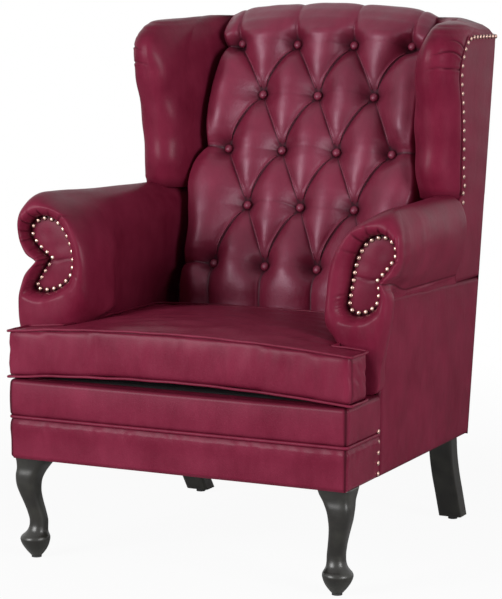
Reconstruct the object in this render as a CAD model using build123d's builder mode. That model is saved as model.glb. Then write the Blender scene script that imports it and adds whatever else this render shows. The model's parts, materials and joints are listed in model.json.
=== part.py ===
from build123d import *
from math import cos, pi, sin, sqrt
import os

os.makedirs("parts", exist_ok=True)

# A buttoned wing armchair on cabriole front legs. Millimetres, +Z up, the front faces -Y.
# Left and right are as seen by someone who stands in front of the chair.
# Right-hand pieces (+X) are modelled, and left-hand ones are their mirror images.

# Whole chair
half_width = 377
front_y = -412
seat_bottom = 213
cover = 8
hair = 0.3
overrun = 30

# Rake of the outside back: its rear face starts here at the bottom of the seat
rear_foot_y = 272
rear_slope = 0.1535

# Seat frame
rail_thick = 28
rail_height = 115.5
dust_thick = 1.5
corner_radius = 20
block_leg = 85
block_height = 46

# Back frame
post_depth = 32
post_width = 45
back_top = 1137
arch_radius = 1660
top_roll_drop = 22
crest_drop = 26
crest_height = 100
lower_rail_height = 55

# Suspension
web_thick = 2
web_width = 52
spring_wire = 4
spring_count = 4
spring_bars = 13
spring_width = 46
spring_side_gap = 46
clip_thick = 1.5
clip_length = 26

# Seat borders and the piping between them
piping_rise = 87
piping_radius = 3
border_seat_gap = 3
border_crown = 2
border_end_y = -247

# Seat and cushion
seat_side_width = 73
seat_level = 380
cushion_overhang = 3
cushion_setback = 2
cushion_rear_gap = 4
cushion_side_gap = 4
cushion_ear_depth = 90
cushion_height = 96
cushion_front_bow = 24
cushion_front_crown = 19
cushion_crown = 30
cushion_round = 12
cushion_waist = 3

# Arms
facing_y = -250
facing_thick = 12
facing_gap = 7
facing_bottom = 538.5
facing_overhang = 36
facing_height = 161
facing_count = 26
rim_overlap = 42
bead_bottom = 480
bead_height = 272
rim_bottom = 384
arm_overhang = 72
rim_height = 368
rim_depth = 56
rim_back = 12
rim_crest_share = 0.62
rim_mouth_share = 0.4
roll_overlap = 9
roll_bottom = 502
roll_height = 250
roll_front_y = -150
roll_rear_y = 165
roll_rear_draw = 6.7
roll_rear_height = 242
roll_rear_drop = 7
arm_post_depth = 32
arm_post_margin = 12
arm_rail_z = 632
arm_rail_height = 36
tack_rail_z = 394
tack_rail_height = 40
arm_board_width = 44
tack_board_width = 24
seam_front_y = -212
seam_front_z = 568
seam_slope = 0.0318

# Wings
wing_bottom = 738
wing_top_drop = 32
wing_overlap = 29
wing_front_y = 96
wing_reach = 224
wing_face_depth = 55
wing_face_share = 0.5
wing_shoulder_share = 0.31
wing_waist_share = 0.290419
wing_peak_share = 0.754491
wing_board_thick = 18
wing_nail_drop = 33
wing_nail_front_y = 205
wing_nail_peak_y = 184
wing_nail_shoulder_y = 254
wing_nail_pitch = 20
wing_nail_foot = 703
wing_nail_end_gap = 8

# Buttoned back
button_plane_y = 132.5
button_plane_z = 500
row_low = 566
row_top_drop = 89
button_spacing = 125
button_spacing_top = 137
button_radius = 8.5
button_height = 7
button_taper = 20
pillow_bulge = 35
pleat_rise = 14
pleat_width = 3
pad_foot_y = 104
pad_lip_z = 494
pad_side_recess = 30
pad_side_bulge = 8
pad_side_thin = 11
pad_top_thick = 40.5
top_pleat_draw = 7
top_shoulder_drop = 40
top_shoulder_bulge = 28

# Nails
nail_radius = 4.75
nail_height = 2.6
nail_taper = 40
nail_margin = 6
border_nail_foot = 9
border_nail_rise = 85
border_nail_count = 5
border_nail_inset = 6

# Front legs
leg_side_inset = 38
leg_front_inset = 46
knee_size = 64
knee_out = 16.5

# Rear legs
rear_leg_side_inset = 51
rear_leg_back_inset = 26
rear_leg_toe_in = 11
rear_leg_reach = 104
rear_leg_width = 52
rear_leg_depth = 44
rear_leg_corner = 3

# Glides and bolts
glide_radius = 10.5
glide_height = 4
rear_glide_height = 8
bolt_radius = 4
bolt_fit = 0.1
bolt_length = 66
bolt_sink = 16
bolt_inset = 18

# Heights of the five button rows, from the lowest
row_shares = [0, 0.267, 0.517, 0.768, 1]

# Scroll outlines as shares of their width and height. Every second point is the middle of an arc.
facing_shares = [
    (0.5, 0.455), (0.775, 0.582), (1, 0.762), (0.902, 0.929), (0.637, 1), (0.216, 0.842),
    (0, 0.433), (0.069, 0.136), (0.382, 0), (0.657, 0.018), (0.784, 0.111), (0.657, 0.297),
]
bead_shares = [
    (0.754, 0.426), (0.93, 0.544), (1, 0.706), (0.882, 0.908), (0.588, 1), (0.15, 0.838),
    (0, 0.478), (0.107, 0.158), (0.444, 0), (0.845, 0.048), (1, 0.202), (0.893, 0.327),
]
rim_shares = [
    (0.754, 0.576), (0.93, 0.663), (1, 0.783), (0.882, 0.932), (0.588, 1), (0.15, 0.88),
    (0, 0.614), (0.182, 0.315), (0.417, 0), (0.834, 0.125), (1, 0.41), (0.893, 0.503),
]
roll_shares = [
    (0.532, 0.26), (0.877, 0.42), (1, 0.68), (0.857, 0.9), (0.5, 1), (0.06, 0.864),
    (0, 0.592), (0.03, 0.292), (0.26, 0.012), (0.357, 0), (0.42, 0.052), (0.461, 0.172),
]

# Wing levels: height, outer and inner side, front and outer flat's front, each as a share
wing_level_shares = [
    (0, 1, 0.04, 0.223, 0.487), (0.142, 1, 0.02, 0.179, 0.487), (0.305, 1, 0.02, 0.165, 0.487),
    (0.504, 1, 0, 0.103, 0.455), (0.67, 1, 0, 0.022, 0.402), (0.812, 1, 0.01, 0, 0.478),
    (0.878, 1, 0.04, 0.071, 0.576), (0.932, 0.98, 0.1, 0.232, 0.754),
    (0.973, 0.85, 0.22, 0.487, 0.911), (1, 0.69, 0.39, 0.844, 1),
]

# Front leg sections: height, shift towards the knee, size and corner, each as a share
leg_shares = [
    (1, 0, 1, 0.2), (0.92, 0.06, 0.94, 0.2), (0.87, 0.55, 0.865, 0.2), (0.826, 0.91, 0.805, 0.2),
    (0.77, 1.01, 0.765, 0.21), (0.709, 0.98, 0.715, 0.22), (0.64, 0.76, 0.66, 0.24),
    (0.573, 0.475, 0.615, 0.28), (0.455, -0.036, 0.578, 0.34), (0.357, -0.3, 0.59, 0.4),
    (0.29, -0.36, 0.64, 0.46), (0.24, -0.2, 0.76, 0.48), (0.195, 0, 0.95, 0.48),
    (0.165, 0, 0.975, 0.48), (0.13, 0, 0.87, 0.48), (0.065, 0, 0.58, 0.48), (0, 0, 0.35, 0.48),
]

# Rear leg sections: height and sweep towards the foot
rear_leg_shares = [(1, 0), (0.78, 0.09), (0.54, 0.31), (0.3, 0.62), (0, 1)]

# Heights and widths that follow from the sizes above
frame_half_width = half_width - cover
strip_inner = cover - border_crown
frame_corner = corner_radius - strip_inner
rail_bottom = seat_bottom + dust_thick
rail_top = rail_bottom + rail_height
spring_top = rail_top + clip_thick + spring_wire
post_inner_x = frame_half_width - post_width
rail_inner_x = frame_half_width - rail_thick
rail_front_y = front_y + cover
rail_back_y = rail_front_y + rail_thick
deck_top = seat_level - hair
cushion_half_width = half_width + cushion_overhang
cushion_front_y = front_y + cushion_setback
cushion_rear_y = pad_foot_y - cushion_rear_gap
seat_half_width = half_width - seat_side_width
cushion_inner_half = seat_half_width - cushion_side_gap
cushion_ear_y = cushion_front_y + cushion_ear_depth
post_face_depth = cover + post_depth
post_top = back_top - crest_drop - post_inner_x**2 / (2 * arch_radius)
piping_z = seat_bottom + piping_rise
border_top = seat_level - border_seat_gap
border_nail_low = seat_bottom + border_nail_foot
arm_reach = half_width + arm_overhang
facing_in = seat_half_width + facing_gap
facing_width = half_width + facing_overhang - facing_in
rim_in = seat_half_width - rim_overlap
rim_width = arm_reach - rim_in
roll_in = seat_half_width - roll_overlap
roll_width = arm_reach - roll_in
roll_rear_in = seat_half_width + hair
roll_rear_width = arm_reach - roll_rear_draw - roll_rear_in
wing_top = back_top - wing_top_drop
wing_in = seat_half_width - wing_overlap
wing_thick = half_width - wing_in
wing_nail_top = wing_top - wing_nail_drop
wing_nail_waist = wing_bottom + wing_waist_share * (wing_nail_top - wing_bottom)
wing_nail_peak_z = wing_bottom + wing_peak_share * (wing_nail_top - wing_bottom)
row_rise = back_top - row_top_drop - row_low
button_top_y = rear_foot_y + rear_slope * (back_top - seat_bottom) - pad_top_thick
button_slope = (button_top_y - button_plane_y) / (back_top - button_plane_z)
spring_spread = 2 * (seat_half_width - spring_side_gap) - spring_width
leg_x, leg_y = half_width - leg_side_inset, front_y + leg_front_inset
rear_leg_x, rear_leg_y = half_width - rear_leg_side_inset, rear_foot_y - rear_leg_back_inset
rear_leg_foot_x, rear_leg_foot_y = rear_leg_x - rear_leg_toe_in, rear_leg_y + rear_leg_reach
crest_bottom = back_top - crest_drop - crest_height
arm_post_back_y = facing_y + facing_thick + arm_post_depth
spacing_gain = (button_spacing_top - button_spacing) / row_rise
row_heights = [row_low + row_rise * share for share in row_shares]


def rear_y(z, depth):
    """Place of a plane that lies this deep inside the raked rear face, at height z."""
    return rear_foot_y + rear_slope * (z - seat_bottom) - depth


def raked(low, high, back, thickness):
    """Four corners, in Y and Z, of a board that leans with the back."""
    front = back + thickness
    rear_side = [(rear_y(low, back), low), (rear_y(high, back), high)]
    front_side = [(rear_y(high, front), high), (rear_y(low, front), low)]
    return rear_side + front_side


def arch_z(x, drop):
    """Height of the arched top of the back, this far below the highest line."""
    return back_top - drop - x**2 / (2 * arch_radius)


def seam_z(y):
    """Height of the seam between the arm roll and the outside arm."""
    return seam_front_z - seam_slope * (y - seam_front_y)


def button_y(z):
    """Place of the raked plane that the buttons are pulled down to."""
    return button_plane_y + button_slope * (z - button_plane_z)


def pad_recess(z, depth):
    """How far the pad's front lies behind the button plane, fading out towards the top."""
    return depth * (back_top - z) / (back_top - row_low)


def spread(shares, low_x, low_z, width, height):
    """Points of an outline from its shares."""
    return [(low_x + width * x, low_z + height * z) for x, z in shares]


def mix(first, second, share):
    """Outline between two outlines that have matching points."""
    return [(a + (c - a) * share, b + (d - b) * share) for (a, b), (c, d) in zip(first, second)]


def draw(points):
    """Lines and arcs through the points. Every second one is the middle of an arc, or None for a line."""
    for k in range(0, len(points) - 2, 2):
        start, middle, end = points[k : k + 3]
        if middle is None:
            Line(start, end)
        else:
            ThreePointArc(start, middle, end)


def section(plane, points):
    """Closed face whose outline is drawn through the points."""
    with BuildSketch(plane) as face:
        with BuildLine():
            draw(points + points[:1])
        make_face()
    return face.sketch


def across(y):
    """Upright plane at this depth: X to the right, Z up, facing the front."""
    return Plane.XZ.offset(-y)


def nail_heads(places, outward):
    """Low six-sided nail heads that stand on the surface at each place."""
    with BuildPart() as heads:
        with BuildSketch(*[Plane(origin=place, z_dir=outward) for place in places]):
            RegularPolygon(nail_radius, 6)
        extrude(amount=nail_height, taper=nail_taper)
    return heads.part


# Hanger bolts join the legs to the frame
front_bolt = (rail_inner_x - bolt_inset, rail_back_y + bolt_inset)
rear_bolt = (post_inner_x + post_width / 3, rear_y(rail_bottom, cover + post_depth / 2))
bolt_places = [(side * x, y) for x, y in (front_bolt, rear_bolt) for side in (-1, 1)]
with BuildPart() as leg_bolts:
    with BuildSketch(Plane.XY.offset(seat_bottom - bolt_sink)):
        with Locations(*bolt_places):
            Circle(bolt_radius)
    extrude(amount=bolt_length)

# Clearance round the bolts, cut from the pieces that they pass through
with BuildPart() as bolt_clearance:
    with BuildSketch(Plane.XY.offset(seat_bottom - bolt_sink - bolt_fit)):
        with Locations(*bolt_places):
            Circle(bolt_radius + bolt_fit)
    extrude(amount=bolt_length + 2 * bolt_fit)

# Back posts lean with the back and carry the wings, the arms and the crest rail
with BuildPart() as right_back_post:
    with BuildSketch(Plane.YZ.offset(post_inner_x)):
        with BuildLine():
            Polyline(*raked(rail_bottom, post_top, cover, post_depth), close=True)
        make_face()
    extrude(amount=post_width)
    add(bolt_clearance.part, mode=Mode.SUBTRACT)

with BuildPart() as left_back_post:
    mirror(right_back_post.part, about=Plane.YZ)

# Seat rails
with BuildPart() as front_seat_rail:
    with BuildSketch(Plane.XY.offset(rail_bottom)):
        with Locations((0, rail_front_y)):
            Rectangle(2 * frame_half_width, rail_thick, align=(Align.CENTER, Align.MIN))
    extrude(amount=rail_height)
    outer_edges = front_seat_rail.edges().filter_by(Axis.Z).group_by(Axis.Y)[0]
    fillet(outer_edges, frame_corner)

with BuildPart() as right_seat_rail:
    with BuildSketch(Plane.YZ.offset(rail_inner_x)):
        with BuildLine():
            low, high = rear_y(rail_bottom, post_face_depth), rear_y(rail_top, post_face_depth)
            front_side = [(rail_back_y, rail_top), (rail_back_y, rail_bottom)]
            Polyline((low, rail_bottom), (high, rail_top), *front_side, close=True)
        make_face()
    extrude(amount=rail_thick)

with BuildPart() as left_seat_rail:
    mirror(right_seat_rail.part, about=Plane.YZ)

with BuildPart() as rear_seat_rail:
    with BuildSketch(Plane.YZ):
        with BuildLine():
            Polyline(*raked(rail_bottom, rail_top, cover, post_depth), close=True)
        make_face()
    extrude(amount=post_inner_x, both=True)

# Glued and screwed blocks in the four corners of the seat frame
with BuildPart() as corner_blocks:
    block_rear_y = rear_y(rail_bottom, post_face_depth)
    with BuildSketch(Plane.XY.offset(rail_bottom)):
        for side in (-1, 1):
            corner_x = side * rail_inner_x
            tip_x = corner_x - side * block_leg
            for corner_y, reach_y in ((rail_back_y, block_leg), (block_rear_y, -block_leg)):
                with BuildLine():
                    far_point = (corner_x, corner_y + reach_y)
                    Polyline((corner_x, corner_y), (tip_x, corner_y), far_point, close=True)
                make_face()
    extrude(amount=block_height)
    add(bolt_clearance.part, mode=Mode.SUBTRACT)

# Arched rail along the top of the back
with BuildPart() as crest_rail:
    with BuildSketch(Plane.YZ):
        with BuildLine():
            Polyline(*raked(crest_bottom, back_top, cover, post_depth), close=True)
        make_face()
    extrude(amount=post_inner_x, both=True)
    with BuildSketch(across(front_y)):
        with BuildLine():
            shoulder_z = arch_z(post_inner_x, crest_drop)
            right_end = [(post_inner_x, shoulder_z), (post_inner_x, crest_bottom)]
            left_end = [(-post_inner_x, crest_bottom), (-post_inner_x, shoulder_z)]
            ThreePointArc(left_end[1], (0, arch_z(0, crest_drop)), right_end[0])
            Polyline(*right_end, *left_end)
        make_face()
    extrude(amount=2 * front_y, mode=Mode.INTERSECT)

# Rail that the back leather is tacked to, just above the seat
with BuildPart() as lower_back_rail:
    with BuildSketch(Plane.YZ):
        with BuildLine():
            Polyline(*raked(seat_level, seat_level + lower_rail_height, cover, post_depth), close=True)
        make_face()
    extrude(amount=post_inner_x, both=True)

# Webbing: upright straps on the rails' front faces, level straps over them
with BuildPart() as back_webbing:
    strap_low = seat_level + lower_rail_height / 2
    strap_high = crest_bottom + crest_height / 2
    for step in (-1, 0, 1):
        strap_x = step * post_inner_x / 2 - web_width / 2
        with BuildSketch(Plane.YZ.offset(strap_x)):
            with BuildLine():
                Polyline(*raked(strap_low, strap_high, post_face_depth, web_thick), close=True)
            make_face()
        extrude(amount=web_width)
    for step in (1, 2, 3):
        strap_z = strap_low + (strap_high - strap_low) * step / 4
        with BuildSketch(Plane.YZ):
            with BuildLine():
                strap_depth = post_face_depth + web_thick
                Polyline(*raked(strap_z, strap_z + web_width, strap_depth, web_thick), close=True)
            make_face()
        extrude(amount=post_inner_x + post_width / 2, both=True)

# Wavy springs run from the front rail to the rear rail, each in a clip at either end
spring_start = rail_front_y + clip_length / 2
spring_end = rear_y(rail_top, cover) - clip_length
bar_pitch = (spring_end - spring_start) / (spring_bars - 1)
spring_xs = [spring_spread * (k / (spring_count - 1) - 1 / 2) for k in range(spring_count)]
with BuildPart() as seat_springs:
    for spring_x in spring_xs:
        wave = []
        for bar in range(spring_bars):
            swing = spring_width / 2 if bar % 2 else -spring_width / 2
            bar_y = spring_start + bar * bar_pitch
            wave += [(spring_x - swing, bar_y), (spring_x + swing, bar_y)]
        with BuildSketch(Plane.XY.offset(rail_top + clip_thick)):
            with BuildLine() as wave_line:
                Polyline(*wave)
            trace(wave_line.line, line_width=spring_wire)
        extrude(amount=spring_wire)

with BuildPart() as spring_clips:
    with BuildSketch(Plane.XY.offset(rail_top)):
        clip_width = spring_width + 2 * spring_wire
        with Locations(*[(x, spring_start) for x in spring_xs], *[(x, spring_end) for x in spring_xs]):
            Rectangle(clip_width, clip_length)
    extrude(amount=clip_thick)
    with BuildSketch(Plane.XY.offset(rail_top)):
        lip_shift = (clip_length - clip_thick) / 2
        with Locations(*[(x, spring_start - lip_shift) for x in spring_xs]):
            Rectangle(clip_width, clip_thick)
        with Locations(*[(x, spring_end + lip_shift) for x in spring_xs]):
            Rectangle(clip_width, clip_thick)
    extrude(amount=spring_top - rail_top)

# Padded platform over the springs, with ears in front of the arms
with BuildPart() as seat_deck:
    with BuildSketch(Plane.XY.offset(spring_top)):
        with BuildLine():
            deck_rear_y = rear_y(spring_top, post_face_depth)
            right_side = [(frame_half_width, rail_front_y), (frame_half_width, facing_y)]
            right_side += [(seat_half_width, facing_y), (seat_half_width, deck_rear_y)]
            Polyline(*right_side, *[(-x, y) for x, y in reversed(right_side)], close=True)
        make_face()
        fillet(vertices().group_by(Axis.Y)[0], frame_corner)
    extrude(amount=deck_top - spring_top)

# Upper border: a softly crowned strip round the front and both sides, above the piping
border_path_half = half_width - border_crown
border_path_front = front_y + border_crown
border_bottom = piping_z + piping_radius


def border_line(height, inset):
    """Line round the front of the seat at this height, this far inside the borders' edge."""
    half = border_path_half - inset
    front = border_path_front + inset
    radius = corner_radius - inset
    corners = [(half, border_end_y), (half, front), (-half, front), (-half, border_end_y)]
    with BuildLine(Plane.XY.offset(height)) as round_front:
        FilletPolyline(*corners, radius=radius)
    return round_front.line


with BuildPart() as right_border_nails:
    nail_x = border_path_half
    nail_y = border_end_y - border_nail_inset
    nail_gap = border_nail_rise / (border_nail_count - 1)
    nail_zs = [border_nail_low + nail_gap * k for k in range(border_nail_count)]
    add(nail_heads([(nail_x, nail_y, z) for z in nail_zs], (1, 0, 0)))

with BuildPart() as left_border_nails:
    mirror(right_border_nails.part, about=Plane.YZ)

with BuildPart() as upper_seat_border:
    strip_height = border_top - border_bottom
    strip_start = (border_path_half, border_end_y, border_bottom)
    with BuildSketch(Plane(origin=strip_start, x_dir=(1, 0, 0), z_dir=(0, -1, 0))):
        with BuildLine():
            Polyline((0, strip_height), (-strip_inner, strip_height), (-strip_inner, 0), (0, 0))
            ThreePointArc((0, 0), (border_crown, strip_height / 2), (0, strip_height))
        make_face()
    sweep(path=border_line(border_bottom, 0))
    add(right_border_nails.part, mode=Mode.SUBTRACT)
    add(left_border_nails.part, mode=Mode.SUBTRACT)

with BuildPart() as lower_seat_border:
    band_height = piping_z - piping_radius - seat_bottom
    band_start = (border_path_half, border_end_y, seat_bottom)
    with BuildSketch(Plane(origin=band_start, x_dir=(1, 0, 0), z_dir=(0, -1, 0))):
        with Locations((-strip_inner, 0)):
            Rectangle(strip_inner, band_height, align=(Align.MIN, Align.MIN))
    sweep(path=border_line(seat_bottom, 0))
    add(right_border_nails.part, mode=Mode.SUBTRACT)
    add(left_border_nails.part, mode=Mode.SUBTRACT)

with BuildPart() as border_piping:
    piping_start = Plane(origin=(border_path_half - piping_radius, border_end_y, piping_z), z_dir=(0, -1, 0))
    with BuildSketch(piping_start):
        Circle(piping_radius)
    sweep(path=border_line(piping_z, piping_radius))
    add(right_border_nails.part, mode=Mode.SUBTRACT)
    add(left_border_nails.part, mode=Mode.SUBTRACT)

# Black cloth under the seat, with clearance holes for the leg bolts
with BuildPart() as dust_cover:
    with BuildSketch(Plane.XY.offset(seat_bottom)):
        with BuildLine():
            cloth_rear_y = rear_y(seat_bottom, cover)
            Polyline(
                (-frame_half_width, rail_front_y),
                (frame_half_width, rail_front_y),
                (frame_half_width, cloth_rear_y),
                (-frame_half_width, cloth_rear_y),
                close=True,
            )
        make_face()
        fillet(vertices().group_by(Axis.Y)[0], frame_corner)
        with Locations(*bolt_places):
            Circle(bolt_radius + bolt_fit, mode=Mode.SUBTRACT)
    extrude(amount=dust_thick)

# Outside covers: leather over board, flat on the frame. Their seam meets the raked back here.
seam_rise_z = seam_front_z + seam_slope * seam_front_y - seat_bottom
seam_back_y = (rear_foot_y - cover + rear_slope * seam_rise_z) / (1 + rear_slope * seam_slope)
with BuildPart() as right_outside_arm:
    with BuildSketch(Plane.YZ.offset(frame_half_width)):
        with BuildLine():
            Polyline(
                (border_end_y, seat_bottom),
                (border_end_y, border_top),
                (seam_front_y, seam_front_z),
                (seam_back_y, seam_z(seam_back_y)),
                (rear_y(seat_bottom, cover), seat_bottom),
                close=True,
            )
        make_face()
    extrude(amount=cover)

with BuildPart() as left_outside_arm:
    mirror(right_outside_arm.part, about=Plane.YZ)


def wing_edge(margin, foot_z):
    """Points up the front and over the top of the wing's flat side, this far outside its nail line."""
    corner = margin / sqrt(2)
    peak_y, peak_z = wing_nail_peak_y - margin, wing_nail_peak_z
    waist = (wing_nail_front_y - margin, wing_nail_waist)
    hollow = ((waist[0] + peak_y) / 2 + nail_radius, (wing_nail_waist + peak_z) / 2)
    shoulder_y = wing_nail_peak_y + (wing_nail_shoulder_y - wing_nail_peak_y) * wing_shoulder_share
    shoulder_z = wing_nail_top - (wing_nail_top - peak_z) * wing_shoulder_share
    top = (wing_nail_shoulder_y, wing_nail_top + margin)
    foot = (wing_nail_front_y - margin, foot_z)
    return [foot, None, waist, hollow, (peak_y, peak_z), (shoulder_y - corner, shoulder_z + corner), top]


with BuildPart() as right_outside_wing:
    panel_top = wing_nail_top + nail_margin
    seam_back_z = seam_z(seam_back_y)
    panel_foot = [(rear_y(panel_top, cover), panel_top), None, (seam_back_y, seam_back_z), None]
    panel_foot += [(roll_rear_y, seam_z(roll_rear_y)), None, (roll_rear_y, wing_bottom), None]
    with BuildSketch(Plane.YZ.offset(frame_half_width)):
        with BuildLine():
            panel_edge = wing_edge(nail_margin, wing_bottom)
            draw(panel_edge + [None] + panel_foot + panel_edge[:1])
        make_face()
    extrude(amount=cover)

with BuildPart() as left_outside_wing:
    mirror(right_outside_wing.part, about=Plane.YZ)

# Arched outside back: a raked slab cut to the outline of the back
with BuildPart() as outside_back:
    with BuildSketch(Plane.YZ):
        with BuildLine():
            Polyline(*raked(seat_bottom, back_top, 0, cover), close=True)
        make_face()
    extrude(amount=half_width, both=True)
    with BuildSketch(across(front_y)):
        with BuildLine():
            corner_z = arch_z(half_width, top_roll_drop)
            right_end = [(half_width, corner_z), (half_width, seat_bottom)]
            left_end = [(-half_width, seat_bottom), (-half_width, corner_z)]
            ThreePointArc(left_end[1], (0, arch_z(0, top_roll_drop)), right_end[0])
            Polyline(*right_end, *left_end)
        make_face()
    extrude(amount=2 * front_y, mode=Mode.INTERSECT)

# Arm frame: a scroll-shaped post on the side rail, a board along the roll and a rail by the seat
facing_outline = spread(facing_shares, facing_in, facing_bottom, facing_width, facing_height)
with BuildPart() as right_arm_post:
    with BuildSketch(across(facing_y + facing_thick)):
        with BuildLine():
            draw(facing_outline + facing_outline[:1])
        make_face()
        offset(amount=-arm_post_margin)
        stem_height = facing_bottom + facing_height / 2 - rail_top
        with Locations((frame_half_width, rail_top)):
            Rectangle(arm_board_width, stem_height, align=(Align.MAX, Align.MIN))
    extrude(amount=-arm_post_depth)
    add(right_outside_arm.part, mode=Mode.SUBTRACT)

with BuildPart() as left_arm_post:
    mirror(right_arm_post.part, about=Plane.YZ)


def arm_board(low, height):
    """Side outline of a board from the arm post to the raked back post."""
    start = arm_post_back_y
    back_low, back_high = rear_y(low, post_face_depth), rear_y(low + height, post_face_depth)
    return [(start, low), (back_low, low), (back_high, low + height), (start, low + height)]


with BuildPart() as right_arm_rail:
    with BuildSketch(Plane.YZ.offset(frame_half_width - arm_board_width)):
        with BuildLine():
            Polyline(*arm_board(arm_rail_z, arm_rail_height), close=True)
        make_face()
    extrude(amount=arm_board_width)

with BuildPart() as left_arm_rail:
    mirror(right_arm_rail.part, about=Plane.YZ)

with BuildPart() as right_arm_tack_rail:
    with BuildSketch(Plane.YZ.offset(frame_half_width - tack_board_width)):
        with BuildLine():
            Polyline(*arm_board(tack_rail_z, tack_rail_height), close=True)
        make_face()
    extrude(amount=tack_board_width)

with BuildPart() as left_arm_tack_rail:
    mirror(right_arm_tack_rail.part, about=Plane.YZ)

# Shaped board inside the wing, on the arm rail and against the back post
with BuildPart() as right_wing_frame:
    board_foot_z = arm_rail_z + arm_rail_height
    board_edge = wing_edge(0, board_foot_z)
    board_back = [(rear_y(wing_nail_top, post_face_depth), wing_nail_top), None]
    board_back += [(rear_y(board_foot_z, post_face_depth), board_foot_z), None]
    with BuildSketch(Plane.YZ.offset(frame_half_width - wing_board_thick)):
        with BuildLine():
            draw(board_edge + [None] + board_back + board_edge[:1])
        make_face()
    extrude(amount=wing_board_thick)

with BuildPart() as left_wing_frame:
    mirror(right_wing_frame.part, about=Plane.YZ)

# Facing board at the front of the arm, with its row of nails
with BuildPart() as right_arm_facing:
    with BuildSketch(across(facing_y)):
        with BuildLine():
            draw(facing_outline + facing_outline[:1])
        make_face()
    extrude(amount=-facing_thick)

with BuildPart() as left_arm_facing:
    mirror(right_arm_facing.part, about=Plane.YZ)

with BuildSketch(across(facing_y)) as facing_nail_face:
    with BuildLine():
        draw(facing_outline + facing_outline[:1])
    make_face()
    offset(amount=-nail_margin)
facing_nail_line = facing_nail_face.sketch.face().outer_wire()
facing_nail_places = [facing_nail_line.position_at(k / facing_count) for k in range(facing_count)]

with BuildPart() as right_facing_nails:
    add(nail_heads(facing_nail_places, (0, -1, 0)))

with BuildPart() as left_facing_nails:
    mirror(right_facing_nails.part, about=Plane.YZ)

with BuildLine(Plane.YZ.offset(half_width)) as wing_nail_line:
    wing_nail_end = (rear_y(wing_nail_top, cover + wing_nail_end_gap), wing_nail_top)
    draw(wing_edge(0, wing_nail_foot) + [None, wing_nail_end])
wing_nail_wire = Wire(wing_nail_line.edges())
wing_nail_count = round(wing_nail_wire.length / wing_nail_pitch)
wing_nail_places = [wing_nail_wire.position_at(k / wing_nail_count) for k in range(wing_nail_count + 1)]

with BuildPart() as right_wing_nails:
    add(nail_heads(wing_nail_places, (1, 0, 0)))

with BuildPart() as left_wing_nails:
    mirror(right_wing_nails.part, about=Plane.YZ)

# Arm pad: a bead swells round the facing and reaches down to the seat at the rim behind it, and the
# rim runs back into the roll, over a straight inner wall
bead_outline = spread(bead_shares, rim_in, bead_bottom, rim_width, bead_height)
crest_outline = mix(facing_outline, bead_outline, rim_crest_share)
rim_outline = spread(rim_shares, rim_in, rim_bottom, rim_width, rim_height)
roll_outline = spread(roll_shares, roll_in, roll_bottom, roll_width, roll_height)
rear_outline = spread(
    roll_shares, roll_rear_in, roll_bottom - roll_rear_drop, roll_rear_width, roll_rear_height
)
with BuildPart() as right_arm_pad:
    rim_sections = []
    for step in range(4):
        turn = pi / 2 * step / 3
        rim_y = facing_y - rim_back - (rim_depth - rim_back) * cos(turn)
        rim_sections.append(section(across(rim_y), mix(crest_outline, rim_outline, sin(turn))))
    rim_sections.append(section(across(seam_front_y), mix(rim_outline, roll_outline, 1 / 2)))
    rim_sections.append(section(across(roll_front_y), roll_outline))
    rim_sections.append(section(across(roll_rear_y), rear_outline))
    loft(rim_sections, ruled=True)
    with BuildSketch(Plane.YZ.offset(seat_half_width)):
        with BuildLine():
            wall_shoulder_z = arm_rail_z + 2 * arm_rail_height
            under_wing_y = wing_nail_front_y - wing_face_depth
            Polyline(
                (facing_y, rail_top),
                (facing_y, facing_bottom),
                (roll_front_y, wall_shoulder_z),
                (under_wing_y, wall_shoulder_z),
                (under_wing_y, wing_bottom),
                (rear_y(wing_bottom, post_face_depth), wing_bottom),
                (rear_y(rail_top, post_face_depth), rail_top),
                close=True,
            )
        make_face()
    extrude(amount=frame_half_width - seat_half_width)
    mouth_sections = []
    for step in range(4):
        turn = pi / 2 * step / 3
        grow = rim_mouth_share * (1 - sin(turn))
        mouth_y = facing_y - rim_depth * cos(turn)
        mouth_sections.append(section(across(mouth_y), mix(facing_outline, bead_outline, grow)))
    loft(mouth_sections, ruled=True, mode=Mode.SUBTRACT)
    for inner in (right_arm_facing, right_arm_post, right_arm_rail, right_arm_tack_rail):
        add(inner.part, mode=Mode.SUBTRACT)
    for inner in (right_wing_frame, right_outside_arm, right_outside_wing, back_webbing, right_seat_rail):
        add(inner.part, mode=Mode.SUBTRACT)

with BuildPart() as left_arm_pad:
    mirror(right_arm_pad.part, about=Plane.YZ)

# Wing pad: level sections, rolled round the front and domed at the top
pad_shoulder_y = button_y(arch_z(seat_half_width, top_shoulder_drop)) - top_shoulder_bulge - hair
with BuildPart() as right_wing_pad:
    wing_sections = []
    for up, outer_share, inner_share, front_share, flat_share in wing_level_shares:
        z = wing_bottom + (wing_top - wing_bottom) * up
        outer, inner = wing_in + wing_thick * outer_share, wing_in + wing_thick * inner_share
        front, flat = wing_front_y + wing_reach * front_share, wing_front_y + wing_reach * flat_share
        middle = (outer + inner) / 2
        face = front + (flat - front) * wing_face_share
        crease = min(button_y(z) + pad_recess(z, pad_side_recess) - pad_side_bulge - hair, pad_shoulder_y)
        round_in, round_front = 0.72 * (outer - middle), 0.3
        wing_points = [
            (outer, rear_y(z, cover)), None, (outer, flat),
            (middle + round_in, front + (flat - front) * round_front), (middle, front),
            (middle - round_in, front + (face - front) * round_front), (inner, face), None,
            (max(seat_half_width, inner + hair), max(crease, face + hair)), None,
            (max(seat_half_width, inner + hair), rear_y(z, post_face_depth)), None,
            (post_inner_x, rear_y(z, post_face_depth)), None, (post_inner_x, rear_y(z, cover)), None,
        ]
        wing_sections.append(section(Plane.XY.offset(z), wing_points))
    loft(wing_sections, ruled=True)
    for inner in (right_outside_wing, right_wing_frame, right_wing_nails, right_back_post, back_webbing):
        add(inner.part, mode=Mode.SUBTRACT)

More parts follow.
